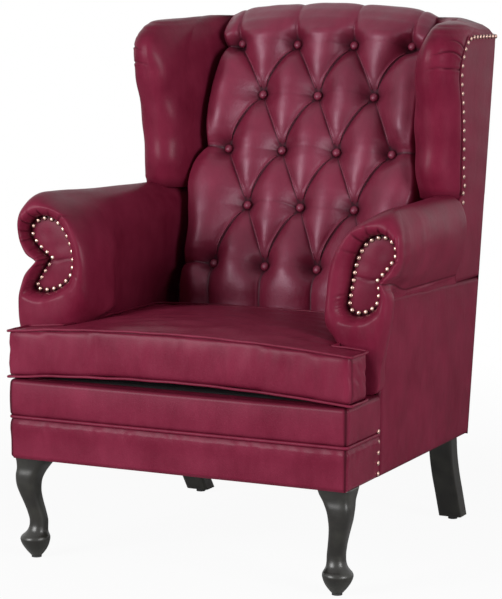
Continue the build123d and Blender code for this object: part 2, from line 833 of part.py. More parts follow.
with BuildPart() as left_wing_pad:
    mirror(right_wing_pad.part, about=Plane.YZ)

# Buttoned back pad: upright sections across the back, one for each quarter of a button spacing and
# two at each column of buttons. In each, four pleats zigzag between the button rows and open into
# a flat seat at each button, and an arc swells forward between pleats.
row_5, row_4, row_3, row_2, row_1 = row_heights
pad_back_depth = post_face_depth + 2 * web_thick
seat_reach = button_radius + hair
tall_pillow = row_3 - row_5


def pleat_heights(step):
    """Heights of the pleats' edges, lowest first, and how far this column is from an outer button."""
    from_middle = min(abs(step), 3 / 2)
    share = abs((from_middle % 1) - 1 / 2) * 2
    open_half = seat_reach - (seat_reach - pleat_width / 2) * share
    low = row_5 + (row_4 - seat_reach - pleat_width / 2 - row_5) * share
    below = row_3 - seat_reach - (row_3 - row_4 - 2 * seat_reach) * share
    above = row_3 + seat_reach + (row_2 - row_3 - 2 * seat_reach) * share
    high = row_1 - (row_1 - row_2 - seat_reach - pleat_width / 2) * share
    return [low - open_half, low + open_half, below, above, high - open_half, high + open_half], share


def back_section(x_step, pleat_step, side, swell):
    """Upright section of the back pad. A side of 0 lies among the buttons, -1 or 1 at an edge."""
    if side:
        lean, origin_x, top_x, recess = 0, side * (seat_half_width - hair), seat_half_width, pad_side_recess
    else:
        lean, recess = x_step * spacing_gain, 0
        origin_x, top_x = x_step * button_spacing, x_step * button_spacing_top
    plane = Plane(origin=(origin_x, 0, row_low), x_dir=(0, 1, 0), z_dir=(1, 0, -lean))
    pleats, share = pleat_heights(pleat_step)
    lift = pleat_rise * sin(pi * share)
    drawn = top_pleat_draw * (1 - share)
    top_z = arch_z(top_x, 0) - drawn
    shoulder_z = top_z - top_shoulder_drop
    rear_z = arch_z(top_x, top_roll_drop)
    rear_top_y = rear_y(rear_z, cover)
    shoulder_y = button_y(shoulder_z) - top_shoulder_bulge + drawn + pad_recess(shoulder_z, recess)
    foot_y = pad_foot_y + recess / 2
    points = [(foot_y, seat_level), None, (foot_y, pad_lip_z)]
    low_z, low_y = pad_lip_z, foot_y
    for pleat_z in pleats:
        tall = max(pleat_z - low_z - 2 * seat_reach, 0) / tall_pillow
        pleat_y = button_y(pleat_z) - lift + pad_recess(pleat_z, recess)
        middle_y = (low_y + pleat_y) / 2 - hair - swell * sqrt(tall)
        points += [(middle_y, (pleat_z + low_z) / 2), (pleat_y, pleat_z)]
        low_z, low_y = pleat_z, pleat_y
    rise = (shoulder_z - low_z) / tall_pillow
    points += [((low_y + shoulder_y) / 2 - hair - swell * rise * sqrt(rise), (low_z + shoulder_z) / 2)]
    points += [(shoulder_y, shoulder_z), ((shoulder_y + rear_top_y) / 2, top_z), (rear_top_y, rear_z), None]
    notch_z = arch_z(top_x, crest_drop - hair)
    points += [(rear_y(notch_z, cover), notch_z), None, (rear_y(notch_z, pad_back_depth), notch_z), None]
    points += [(rear_y(seat_level, pad_back_depth), seat_level), None]
    stretch = sqrt(1 + lean**2)
    return section(plane, [point and (point[0], (point[1] - row_low) * stretch) for point in points])


with BuildPart() as back_pad:
    back_sections = [back_section(-2, -2, -1, pad_side_bulge)]
    for quarter in range(-8, 9):
        step = quarter / 4
        swell = pillow_bulge if abs(step) <= 3 / 2 else pillow_bulge - pad_side_thin
        on_buttons = quarter % 2 == 0 and abs(step) <= 3 / 2
        shifts = (-seat_reach, seat_reach) if on_buttons else (0,)
        back_sections += [back_section(step + shift / button_spacing, step, 0, swell) for shift in shifts]
    back_sections.append(back_section(2, 2, 1, pad_side_bulge))
    loft(back_sections, ruled=True)

# Covered buttons, each pulled down to its seat
button_facing = (0, -1, button_slope)
with BuildPart() as back_buttons:
    for row, row_z in enumerate(row_heights):
        spacing = button_spacing + spacing_gain * (row_z - row_low)
        for step in (-1, 0, 1) if row % 2 else (-1.5, -0.5, 0.5, 1.5):
            seat_plane = Plane(origin=(step * spacing, button_y(row_z), row_z), z_dir=button_facing)
            with BuildSketch(seat_plane.offset(hair)):
                Circle(button_radius)
            extrude(amount=button_height, taper=button_taper)

# Loose seat cushion: level arcs crown the top and lift the front, and ears reach past the arms
with BuildPart() as seat_cushion:
    half = cushion_half_width
    low, high = seat_level, seat_level + cushion_height
    # Depth, edge inset, arc of the underside and crown of each section
    bow_end_y = cushion_ear_y + cushion_ear_depth / 2
    crown_y = (cushion_front_y + cushion_rear_y) / 2
    cushion_levels = [
        (cushion_front_y, cushion_round, cushion_front_bow, cushion_front_crown),
        (cushion_front_y + cushion_round / 3, cushion_round / 3, cushion_front_bow, cushion_front_crown),
        (cushion_front_y + cushion_round, 0, cushion_front_bow, cushion_front_crown),
        (cushion_ear_y, 0, cushion_front_bow / 3, (cushion_front_crown + cushion_crown) / 2),
        (bow_end_y, 0, 0, (cushion_front_crown + 2 * cushion_crown) / 3),
        (crown_y, 0, 0, cushion_crown),
        (cushion_rear_y - 4 * cushion_round, 0, 0, cushion_front_crown),
        (cushion_rear_y - cushion_round, 0, 0, cushion_round),
        (cushion_rear_y - cushion_round / 3, cushion_round / 3, 0, cushion_round),
        (cushion_rear_y, cushion_round, 0, cushion_round),
    ]
    cushion_sections = []
    for depth, inset, bow, crown in cushion_levels:
        side = half - inset
        floor, roof = low + inset, high - inset
        middle = (0, floor + bow) if bow else None
        outline = [(-side, floor), middle, (side, floor), (side - cushion_waist, (floor + roof) / 2)]
        outline += [(side, roof), (0, roof + crown), (-side, roof)]
        outline += [(cushion_waist - side, (floor + roof) / 2)]
        cushion_sections.append(section(across(depth), outline))
    loft(cushion_sections, ruled=True)
    notch_depth = cushion_rear_y - cushion_ear_y
    with BuildSketch(Plane.XY.offset(low - overrun)):
        for side in (-1, 1):
            inner, outer = side * cushion_inner_half, side * (half + overrun)
            waist = (inner - side * cushion_waist, cushion_ear_y + notch_depth / 2)
            beyond_y = cushion_rear_y + overrun
            with BuildLine():
                ThreePointArc((inner, cushion_ear_y), waist, (inner, cushion_rear_y))
                Polyline((inner, cushion_rear_y), (inner, beyond_y), (outer, beyond_y))
                Polyline((outer, beyond_y), (outer, cushion_ear_y), (inner, cushion_ear_y))
            make_face()
    extrude(amount=2 * overrun + cushion_height + cushion_crown, mode=Mode.SUBTRACT)

# Cabriole front legs: rounded squares swell to the knee, narrow to the ankle and end in a pad foot
with BuildPart() as right_front_leg:
    leg_sections = []
    for up, out_share, size_share, corner_share in leg_shares:
        out = knee_out * out_share / sqrt(2)
        size = knee_size * size_share
        level = glide_height + (seat_bottom - glide_height) * up
        with BuildSketch(Plane.XY.offset(level)) as leg_square:
            with Locations((leg_x + out, leg_y - out)):
                RectangleRounded(size, size, size * corner_share)
        leg_sections.append(leg_square.sketch)
    loft(leg_sections, ruled=True)
    add(bolt_clearance.part, mode=Mode.SUBTRACT)

with BuildPart() as left_front_leg:
    mirror(right_front_leg.part, about=Plane.YZ)

# Rear legs sweep back to the floor
with BuildPart() as right_rear_leg:
    rear_leg_sections = []
    for up, sweep in rear_leg_shares:
        level = rear_glide_height + (seat_bottom - rear_glide_height) * up
        with BuildSketch(Plane.XY.offset(level)) as leg_square:
            leg_centre_x = rear_leg_x + (rear_leg_foot_x - rear_leg_x) * sweep
            leg_centre_y = rear_leg_y + (rear_leg_foot_y - rear_leg_y) * sweep
            with Locations((leg_centre_x, leg_centre_y)):
                RectangleRounded(rear_leg_width, rear_leg_depth, rear_leg_corner)
        rear_leg_sections.append(leg_square.sketch)
    loft(rear_leg_sections, ruled=True)
    add(bolt_clearance.part, mode=Mode.SUBTRACT)

with BuildPart() as left_rear_leg:
    mirror(right_rear_leg.part, about=Plane.YZ)

# Glides under the four legs
with BuildPart() as leg_glides:
    rear_glide = (rear_leg_foot_x, rear_leg_foot_y, rear_glide_height)
    for glide_x, glide_y, height in ((leg_x, leg_y, glide_height), rear_glide):
        with BuildSketch(Plane.XY):
            with Locations((-glide_x, glide_y), (glide_x, glide_y)):
                Circle(glide_radius)
        extrude(amount=height)

pieces = {
    "right_front_leg": right_front_leg,
    "left_front_leg": left_front_leg,
    "right_rear_leg": right_rear_leg,
    "left_rear_leg": left_rear_leg,
    "leg_glides": leg_glides,
    "leg_bolts": leg_bolts,
    "front_seat_rail": front_seat_rail,
    "rear_seat_rail": rear_seat_rail,
    "right_seat_rail": right_seat_rail,
    "left_seat_rail": left_seat_rail,
    "corner_blocks": corner_blocks,
    "right_back_post": right_back_post,
    "left_back_post": left_back_post,
    "crest_rail": crest_rail,
    "lower_back_rail": lower_back_rail,
    "right_arm_post": right_arm_post,
    "left_arm_post": left_arm_post,
    "right_arm_rail": right_arm_rail,
    "left_arm_rail": left_arm_rail,
    "right_arm_tack_rail": right_arm_tack_rail,
    "left_arm_tack_rail": left_arm_tack_rail,
    "right_wing_frame": right_wing_frame,
    "left_wing_frame": left_wing_frame,
    "right_arm_facing": right_arm_facing,
    "left_arm_facing": left_arm_facing,
    "seat_springs": seat_springs,
    "spring_clips": spring_clips,
    "back_webbing": back_webbing,
    "dust_cover": dust_cover,
    "seat_deck": seat_deck,
    "upper_seat_border": upper_seat_border,
    "lower_seat_border": lower_seat_border,
    "border_piping": border_piping,
    "right_border_nails": right_border_nails,
    "left_border_nails": left_border_nails,
    "right_outside_arm": right_outside_arm,
    "left_outside_arm": left_outside_arm,
    "right_outside_wing": right_outside_wing,
    "left_outside_wing": left_outside_wing,
    "outside_back": outside_back,
    "right_arm_pad": right_arm_pad,
    "left_arm_pad": left_arm_pad,
    "right_wing_pad": right_wing_pad,
    "left_wing_pad": left_wing_pad,
    "right_facing_nails": right_facing_nails,
    "left_facing_nails": left_facing_nails,
    "right_wing_nails": right_wing_nails,
    "left_wing_nails": left_wing_nails,
    "back_pad": back_pad,
    "back_buttons": back_buttons,
    "seat_cushion": seat_cushion,
}
for name, piece in pieces.items():
    piece.part.label = name
    export_step(piece.part, f"parts/{name}.step")
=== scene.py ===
import json
import math

import bmesh
import bpy
import numpy as np
from mathutils import Matrix, Vector


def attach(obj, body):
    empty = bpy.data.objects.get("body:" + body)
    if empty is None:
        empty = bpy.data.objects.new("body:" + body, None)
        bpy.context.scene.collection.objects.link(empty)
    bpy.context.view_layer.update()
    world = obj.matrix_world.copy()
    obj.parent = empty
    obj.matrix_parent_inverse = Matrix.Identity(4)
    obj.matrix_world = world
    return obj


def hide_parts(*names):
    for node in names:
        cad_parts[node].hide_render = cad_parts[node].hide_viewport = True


bl_info = {
    "name": "Buttoned wing armchair",
    "version": (1, 0, 0),
    "blender": (4, 5, 0),
    "location": "View3D > Sidebar > Armchair",
    "description": "Leather, wood and nails of a buttoned wing armchair, and the studio that it stands in",
    "category": "Object",
}

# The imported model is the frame. Sizes below are in millimetres in the same frame, and meshes are in metres.
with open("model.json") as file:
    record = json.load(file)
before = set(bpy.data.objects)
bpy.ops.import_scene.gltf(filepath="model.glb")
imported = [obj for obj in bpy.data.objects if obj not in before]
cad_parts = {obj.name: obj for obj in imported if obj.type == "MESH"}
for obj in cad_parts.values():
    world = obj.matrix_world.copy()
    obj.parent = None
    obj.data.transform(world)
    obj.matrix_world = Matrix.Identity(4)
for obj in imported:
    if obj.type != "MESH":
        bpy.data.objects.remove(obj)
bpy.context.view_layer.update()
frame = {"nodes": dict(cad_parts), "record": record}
MM = 0.001

HALF_WIDTH = 377.0
SEAT_BOTTOM = 213.0
REAR_FOOT_Y = 272.0
REAR_SLOPE = 0.1535
BACK_TOP = 1137.0
ARCH_RADIUS = 1660.0
TOP_ROLL_DROP = 22.0
FACING_Y = -250.0
FACING_MIDDLE = np.array([352.0, 618.0])
RIM_Y = -262.0
ARM_REAR_Y = 172.0
SEAT_HALF = 304.0
BORDER_TOP, PIPING_Z = 378.0, 300.0
CUSHION_HALF, CUSHION_INNER, CUSHION_FRONT, CUSHION_REAR = 380.0, 300.0, -410.0, 100.0
WING_FOOT, WING_TOP, WING_SIDE_TOP = 738.0, 1105.5, 1077.5
LEG_TOP, FRONT_LEG, REAR_LEG = 213.5, (339.0, -366.0), (326.0, 246.0)
BUTTON_RADIUS, BUTTON_RISE = 9.6, 8.2
FACING_NAILS, WING_NAILS = 26, 29
FACING_NAIL, SIDE_NAIL, NAIL_RISE = 5.3, 4.9, 3.4
CLOTH_FRAMES = 18

# The pieces are made on the right and mirrored to the left
SIDES = (("right", False), ("left", True))
# Body, slot and finish of the leather that is fixed to the frame
LEATHER = ("chair", "leather", "chair_leather")
# Lamps: name, place, what they point at, side of the square in metres, and watts
LAMPS = (
    ("front_soft_lamp", (-1.7, -3.4, 1.5), (0, 0.1, 0.8), 1.7, 112),
    ("right_soft_lamp", (3.2, -1.5, 1.3), (0.2, 0, 0.6), 1.3, 68),
)
# Strength of the pale room's light, where the white that is seen has 1
ROOM_LIGHT = 0.12
# Camera: place in metres, lens in millimetres, and yaw, downward pitch and roll in degrees
CAMERA_PLACE, CAMERA_LENS = (2.0148, -4.3268, 1.1585), 135.94
CAMERA_ANGLES = (25.215, 7.669, 0.330)

ROW_HEIGHTS = np.array([566.0, 694.7, 815.2, 936.2, 1048.0])
PLANE_Y, PLANE_Z, PLANE_SLOPE = 132.5, 500.0, 0.378
PLANE_TILT = math.atan(PLANE_SLOPE)

# Outlines of the arm, (x, z) from the notch over the top, down the inner side and back to the notch. The two
# facings were cut by hand and differ, so their outlines and those of the rims round them do too.
FACINGS = {
    "right": ((375, 605), (396, 629), (412, 655), (408, 681), (382, 697), (345, 684), (322, 645), (312, 595),
              (306, 557), (310, 544), (321, 536), (336, 535), (351, 539), (364, 547), (374, 558), (379, 583)),
    "left": ((368, 611), (392, 628), (414, 655), (411, 683), (382, 699), (345, 688), (318, 650), (309, 606),
             (316, 573), (328, 560), (344, 548), (361, 541), (380, 538), (396, 540), (407, 548), (392, 575)),
}
CRESTS = {
    "right": ((389, 604), (408, 624), (424, 655), (419, 692), (384, 715), (329, 703), (298, 656), (284, 600),
              (280, 550), (290, 526), (311, 518), (334, 515), (357, 519), (377, 531), (390, 548), (394, 582)),
    "left": ((381, 608), (404, 623), (425, 656), (421, 694), (384, 718), (326, 708), (294, 658), (283, 604),
             (291, 559), (308, 540), (334, 529), (358, 520), (384, 516), (407, 521), (421, 536), (405, 576)),
}
RIMS = {
    "right": ((396, 602), (422, 626), (432, 662), (423, 716), (388, 747), (312, 704), (270, 640), (259, 570),
              (259, 506), (284, 478), (303, 445), (308, 386), (372, 384), (384, 440), (402, 520), (407, 567)),
    "left": ((391, 603), (420, 626), (431, 665), (423, 718), (387, 748), (308, 706), (267, 641), (257, 575),
             (260, 508), (282, 479), (303, 445), (309, 386), (380, 384), (428, 444), (432, 520), (423, 567)),
}
ROLL = ((377, 574), (408, 612), (424, 668), (415, 722), (380, 745), (320, 716), (298, 655), (303, 570),
        (304, 506), (304, 478), (304, 445), (305, 386), (370, 384), (373, 440), (374, 520), (376, 556))
ROLL_END = ((377, 571), (390, 610), (397, 655), (393, 705), (369, 737), (316, 741), (277, 705), (268, 610),
            (290, 530), (304, 490), (304, 445), (305, 386), (370, 384), (373, 440), (374, 520), (376, 556))


# ---------------------------------------------------------------- numbers

def ease(low, high, x):
    """Smooth step: 0 below low, 1 above high, and t * t * (3 - 2 * t) between them."""
    t = np.clip((np.asarray(x, float) - low) / (high - low), 0, 1)
    return t * t * (3 - 2 * t)


def bell(x, width):
    """Bell curve of height 1: e to the power of minus (x / width) squared."""
    return np.exp(-((x / width) ** 2))


def flow(xs, ys, x):
    """Catmull-Rom curve through (xs, ys), as a cubic Hermite whose slopes are central differences."""
    xs, ys, x = np.asarray(xs, float), np.asarray(ys, float), np.asarray(x, float)
    slopes = np.gradient(ys, xs)
    k = np.clip(np.searchsorted(xs, x) - 1, 0, len(xs) - 2)
    span = xs[k + 1] - xs[k]
    t = np.clip((x - xs[k]) / span, 0, 1)
    start = (1 + 2 * t) * (1 - t) ** 2 * ys[k] + t * (1 - t) ** 2 * span * slopes[k]
    end = t * t * (3 - 2 * t) * ys[k + 1] + t * t * (t - 1) * span * slopes[k + 1]
    return start + end


def along(points, count, closed=False):
    """Points spaced evenly by length on the polyline."""
    line = np.vstack([points, points[:1]]) if closed else np.asarray(points, float)
    steps = np.concatenate([[0], np.cumsum(np.linalg.norm(np.diff(line, axis=0), axis=1))])
    marks = np.linspace(0, steps[-1], count + 1)[:-1] if closed else np.linspace(0, steps[-1], count)
    return np.stack([np.interp(marks, steps, line[:, k]) for k in range(line.shape[1])], axis=1)


def loop(corners, steps=20):
    """Closed smooth line through the corners, sharp at the first one: cubic pieces whose slopes are half the
    step from the corner before to the corner after."""
    p = np.array(corners + corners[:1], float)
    slopes = np.gradient(p, axis=0)
    t = np.linspace(0, 1, steps + 1)[:-1, None]
    first, second = p[:-1, None], p[1:, None]
    line = (1 + 2 * t) * (1 - t) ** 2 * first + t * (1 - t) ** 2 * slopes[:-1, None]
    line = line + t * t * (3 - 2 * t) * second + t * t * (t - 1) * slopes[1:, None]
    return np.concatenate([line.reshape(-1, 2), p[-1:]])


def facets(points, wrap=False):
    """Unit normals of a grid surface: the cross product of its two difference vectors."""
    across = np.roll(points, -1, 1) - np.roll(points, 1, 1) if wrap else np.gradient(points, axis=1)
    normal = np.cross(np.gradient(points, axis=0), across)
    length = np.linalg.norm(normal, axis=2, keepdims=True)
    return normal / np.maximum(length, 1e-9)


def waves(x, y, seed, count=7, size=60.0):
    """Soft unevenness between about -1 and 1: a sum of seeded plane sine waves of about this size."""
    chance = np.random.default_rng(seed)
    total = np.zeros(np.broadcast(x, y).shape)
    for _ in range(count):
        turn, phase = chance.uniform(0, 2 * math.pi, 2)
        pitch = size * chance.uniform(0.6, 1.6)
        total = total + np.sin((x * math.cos(turn) + y * math.sin(turn)) * 2 * math.pi / pitch + phase)
    return total / math.sqrt(count)


def rear_y(z, depth=0.0):
    """Raked rear face of the chair at height z, this deep inside."""
    return REAR_FOOT_Y + REAR_SLOPE * (z - SEAT_BOTTOM) - depth


def arch_z(x, drop=0.0):
    """Arched top line of the back: a parabola over x."""
    return BACK_TOP - drop - x * x / (2 * ARCH_RADIUS)


def button_y(z):
    """Raked plane of the buttons."""
    return PLANE_Y + PLANE_SLOPE * (z - PLANE_Z)


# ---------------------------------------------------------------- meshes

class Shape:
    """Grids of points, in millimetres, that become one mesh. Each grid point may carry a depth of painted shade,
    darkness that the finishes put into the colour where shade falls in creases, seams and recesses.
    """

    def __init__(self):
        self.points, self.folds, self.quads, self.fans, self.total = [], [], [], [], 0

    def grid(self, points, wrap=False, fold=None, start=False, end=False, mirror=False):
        """Adds a grid of rows and columns. wrap closes the columns, and start and end close the rows' ends."""
        points = np.array(points, float)
        if mirror:
            points = points * [-1, 1, 1]
        rows, columns = points.shape[:2]
        index = np.arange(rows * columns).reshape(rows, columns) + self.total
        if wrap:
            index = np.concatenate([index, index[:, :1]], axis=1)
        quads = np.stack([index[:-1, :-1], index[:-1, 1:], index[1:, 1:], index[1:, :-1]], axis=-1).reshape(-1, 4)
        if mirror:
            quads = quads[:, ::-1]
        self.points.append(points.reshape(-1, 3))
        self.folds.append(np.zeros(rows * columns) if fold is None else np.array(fold, float).reshape(-1))
        self.quads.append(quads)
        self.total += rows * columns
        for row, wanted, flip in ((0, start, True), (rows - 1, end, False)):
            if wanted:
                ring = index[row]
                self.points.append(points[row].mean(axis=0, keepdims=True))
                self.folds.append(self.folds[-1][-1:] * 0)
                pole = np.full(len(ring) - 1, self.total)
                fan = np.stack([ring[:-1], ring[1:], pole], axis=1)
                self.fans.append(fan[:, ::-1] if flip != mirror else fan)
                self.total += 1
        return self

    def build(self, name, outward=None, merge=0.0):
        """One smooth mesh object. outward is a direction, or None for a closed shape, that the faces are turned to."""
        verts = np.concatenate(self.points) * MM
        fold = np.clip(np.concatenate(self.folds), 0, 1)
        faces = [q.tolist() for q in np.concatenate(self.quads)] + [f.tolist() for fan in self.fans for f in fan]
        mesh = bpy.data.meshes.new(name)
        mesh.from_pydata(verts.tolist(), [], faces)
        # The attribute is painted shade: it darkens the colour of the leather and the nails where shade falls in
        # creases, seams and recesses.
        mesh.attributes.new("fold", "FLOAT", "POINT").data.foreach_set("value", fold.astype(np.float32))
        work = bmesh.new()
        work.from_mesh(mesh)
        if merge:
            bmesh.ops.remove_doubles(work, verts=work.verts, dist=merge * MM)
        if outward is None:
            if work.calc_volume(signed=True) < 0:
                bmesh.ops.reverse_faces(work, faces=work.faces)
        else:
            total = Vector((0, 0, 0))
            for face in work.faces:
                total += face.normal * face.calc_area()
            if total.dot(Vector(outward)) < 0:
                bmesh.ops.reverse_faces(work, faces=work.faces)
        work.to_mesh(mesh)
        work.free()
        mesh.shade_smooth()
        piece = bpy.data.objects.new(name, mesh)
        bpy.context.scene.collection.objects.link(piece)
        return piece


def tube(line, radius, sides=10, closed=False):
    """Round tube: circles of this radius square to the line, whose own up direction is the world's."""
    line = np.asarray(line, float)
    if closed:
        tangent = np.roll(line, -1, 0) - np.roll(line, 1, 0)
    else:
        tangent = np.gradient(line, axis=0)
    tangent /= np.linalg.norm(tangent, axis=1, keepdims=True)
    upward = np.array([0.0, 0.0, 1.0]) + 0 * tangent
    side = np.cross(tangent, upward)
    side /= np.maximum(np.linalg.norm(side, axis=1, keepdims=True), 1e-9)
    lift = np.cross(side, tangent)
    turn = np.linspace(0, 2 * math.pi, sides, endpoint=False)
    ring = side[:, None] * np.cos(turn)[None, :, None] + lift[:, None] * np.sin(turn)[None, :, None]
    points = line[:, None] + radius * ring
    return np.concatenate([points, points[:1]]) if closed else points


def dome(place, outward, radius, height, sides=12, rings=4, brim=0.0):
    """Domed head: rings whose radius is a cosine and whose rise is a sine, on a short straight brim."""
    outward = np.asarray(outward, float) / np.linalg.norm(outward)
    helper = np.array([0.0, 0.0, 1.0]) if abs(outward[2]) < 0.9 else np.array([1.0, 0.0, 0.0])
    side = np.cross(helper, outward)
    side /= np.linalg.norm(side)
    lift = np.cross(outward, side)
    slope = np.linspace(0, math.pi / 2, rings + 1)[:-1]
    wide = np.concatenate([[1.0], np.cos(slope)]) * radius
    tall = np.concatenate([[-0.6], brim + (height - brim) * np.sin(slope)])
    turn = np.linspace(0, 2 * math.pi, sides, endpoint=False)
    ring = side * np.cos(turn)[:, None] + lift * np.sin(turn)[:, None]
    return np.asarray(place) + wide[:, None, None] * ring[None] + tall[:, None, None] * outward


# ---------------------------------------------------------------- materials

class Value:
    """A socket of a material. Arithmetic on it adds Math nodes."""

    def __init__(self, finish, socket):
        self.finish, self.socket = finish, socket

    def _math(self, kind, first, second=0.0):
        return self.finish.add("ShaderNodeMath", {"operation": kind}, {0: first, 1: second})

    def __add__(self, other):
        return self._math("ADD", self, other)

    def __radd__(self, other):
        return self._math("ADD", other, self)

    def __sub__(self, other):
        return self._math("SUBTRACT", self, other)

    def __rsub__(self, other):
        return self._math("SUBTRACT", other, self)

    def __mul__(self, other):
        return self._math("MULTIPLY", self, other)

    def __rmul__(self, other):
        return self._math("MULTIPLY", other, self)

    def __truediv__(self, other):
        return self._math("DIVIDE", self, other)

    def __rtruediv__(self, other):
        return self._math("DIVIDE", other, self)

    def __pow__(self, other):
        return self._math("POWER", self, other)

    def clamp(self):
        """The value held between 0 and 1."""
        return self.finish.add("ShaderNodeClamp", {}, {"Value": self})

    def max(self, other):
        """The greater of the two."""
        return self._math("MAXIMUM", self, other)


class Finish:
    """A material, or a world, and its node tree. add is the one way that nodes come into it."""

    def __init__(self, name, kind="materials"):
        self.made = getattr(bpy.data, kind).new(name)
        self.made.use_nodes = True
        self.tree = self.made.node_tree
        self.tree.nodes.clear()

    def add(self, kind, settings=None, values=None, out=0):
        """A node of this type, with its settings made first and then its sockets' values or links."""
        node = self.tree.nodes.new(kind)
        for key, setting in (settings or {}).items():
            setattr(node, key, setting)
        for key, value in (values or {}).items():
            if isinstance(value, Value):
                self.tree.links.new(value.socket, node.inputs[key])
            else:
                node.inputs[key].default_value = value
        return Value(self, node.outputs[out]) if len(node.outputs) else None

    def spot(self):
        """Object coordinates."""
        return self.add("ShaderNodeTexCoord", out="Object")

    def place(self, scale=(1, 1, 1)):
        """Object coordinates, scaled."""
        return self.add("ShaderNodeMapping", {}, {"Vector": self.spot(), "Scale": scale})

    def noise(self, size, detail=3.0, rough=0.5, scale=(1, 1, 1)):
        """Noise whose features are about this size in metres."""
        spots = {"Vector": self.place(scale), "Scale": 1 / size, "Detail": detail, "Roughness": rough}
        return self.add("ShaderNodeTexNoise", {}, spots, out=0)

    def mix(self, share, first, second):
        """Colour between two colours."""
        first, second = (c if isinstance(c, Value) else (*c, 1) for c in (first, second))
        return self.add("ShaderNodeMix", {"data_type": "RGBA"}, {0: share, 6: first, 7: second}, out=2)

    def fold(self):
        """Painted shade of each point, as the meshes carry it: how far the colour is darkened where shade falls in
        creases, seams and recesses.
        """
        return self.add("ShaderNodeAttribute", {"attribute_name": "fold"}, out="Fac")

    def bump(self, height, strength, distance):
        """Normal of a surface with this relief."""
        sockets = {"Strength": strength, "Distance": distance, "Height": height}
        return self.add("ShaderNodeBump", {}, sockets, out="Normal")

    def surface(self, values):
        """The finished surface: a Principled shader with these sockets."""
        self.add("ShaderNodeOutputMaterial", {}, {"Surface": self.add("ShaderNodeBsdfPrincipled", {}, values)})
        return self.made


def leather(look, name, gloss):
    """Waxed leather: mottled colour, paler and darker in random clouds and rubbed spots, with painted shade that
    darkens it in creases, seams and recesses, and a fine pebbled grain. The wax is thinner on the outside of the chair,
    where nobody rubs it."""
    finish = Finish(name)
    across, behind = (finish.add("ShaderNodeSeparateXYZ", {}, {"Vector": finish.spot()}, out=axis) for axis in "XY")
    across = finish.add("ShaderNodeMath", {"operation": "ABSOLUTE"}, {0: across})
    outside = ((across - 0.32) / 0.05).clamp() * ((behind + 0.27) / 0.07).clamp()
    deep, plain, pale = (tuple(c) for c in (look.deep, look.colour, look.pale))
    cloud = finish.noise(0.085, 4.0, 0.55)
    streak = finish.noise(0.02, 3.0, 0.6, (1, 1, 0.35))
    fold = finish.fold()
    tone = ((cloud - 0.5) * 1.5 + (streak - 0.5) * 0.7 + 0.5).clamp()
    dye_and_shade = finish.mix(tone, finish.mix(0.42, plain, deep), finish.mix(0.24, plain, pale))
    scuff = finish.noise(0.006, 4.0, 0.7)
    dye_and_shade = finish.mix(((scuff - 0.58) * 3.0).clamp() * 0.2, dye_and_shade, pale)
    # Painted shade: where the meshes carry it, the colour darkens towards a third of the deep tone in creases, seams
    # and recesses.
    dye_and_shade = finish.mix((fold * 0.95).clamp(), dye_and_shade, tuple(c * 0.3 for c in look.deep))
    cells = finish.add(
        "ShaderNodeTexVoronoi", {"feature": "SMOOTH_F1"},
        {"Vector": finish.place(), "Scale": 1 / look.grain, "Smoothness": 0.35, "Randomness": 1.0}, out="Distance",
    )
    fine = finish.noise(look.grain * 0.6, 3.0, 0.6)
    wrinkle = finish.noise(0.012, 4.0, 0.65, (1, 1, 0.6))
    height = cells * 0.5 + fine * 0.35 + wrinkle * 1.3
    bump = finish.bump(height, 0.32, 0.0015)
    rough = (look.rough + (cloud - 0.5) * 0.22 + (scuff - 0.5) * 0.16 + fold * 0.25).clamp()
    return finish.surface({
        "Base Color": dye_and_shade, "Roughness": rough, "Normal": bump, "Specular IOR Level": gloss,
        "Specular Tint": (1.0, 0.66, 0.86, 1), "Coat Weight": (1 - outside) * look.wax, "Coat Roughness": 0.3,
    })


def dark_wood(look, name):
    """Stained wood: near-black with long pores, rubbed paler and duller in cloudy patches."""
    finish = Finish(name)
    pores = finish.noise(0.004, 5.0, 0.65, (1, 1, 0.07))
    cloud = finish.noise(0.035, 3.0, 0.5)
    shade = finish.mix(((cloud - 0.42) * 3.0).clamp() * 0.55, tuple(look.wood), tuple(look.wood_worn))
    shade = finish.mix(((pores - 0.5) * 2.4).clamp() * 0.5, shade, tuple(c * 0.4 for c in look.wood))
    bump = finish.bump(pores, 0.25, 0.0006)
    rough = (0.36 + (cloud - 0.5) * 0.3 + (pores - 0.5) * 0.2).clamp()
    return finish.surface({"Base Color": shade, "Roughness": rough, "Normal": bump, "Coat Weight": 0.12,
                           "Coat Roughness": 0.3})


def pale_wood(name, colour=(0.52, 0.36, 0.2)):
    """Sawn frame wood: pale with long grain."""
    finish = Finish(name)
    grain = finish.noise(0.006, 5.0, 0.6, (1, 0.2, 0.2))
    shade = finish.mix(grain, tuple(c * 0.7 for c in colour), colour)
    bump = finish.bump(grain, 0.3, 0.0006)
    return finish.surface({"Base Color": shade, "Roughness": 0.7 + grain * 0.1, "Normal": bump})


def aged_metal(name, bright, dark, rough, size):
    """Metal with a patchy darker patina, darkened further by painted shade where the mesh carries it."""
    finish = Finish(name)
    spots = finish.noise(size, 4.0, 0.65)
    # Painted shade: the meshes' shade darkens the metal as the patina does, at the foot of each nail head.
    share = ((spots - 0.45) * 1.6 + finish.fold() * 0.9).clamp()
    return finish.surface({
        "Base Color": finish.mix(share, bright, dark), "Metallic": 1.0 - share * 0.35,
        "Roughness": rough + share * 0.3,
    })


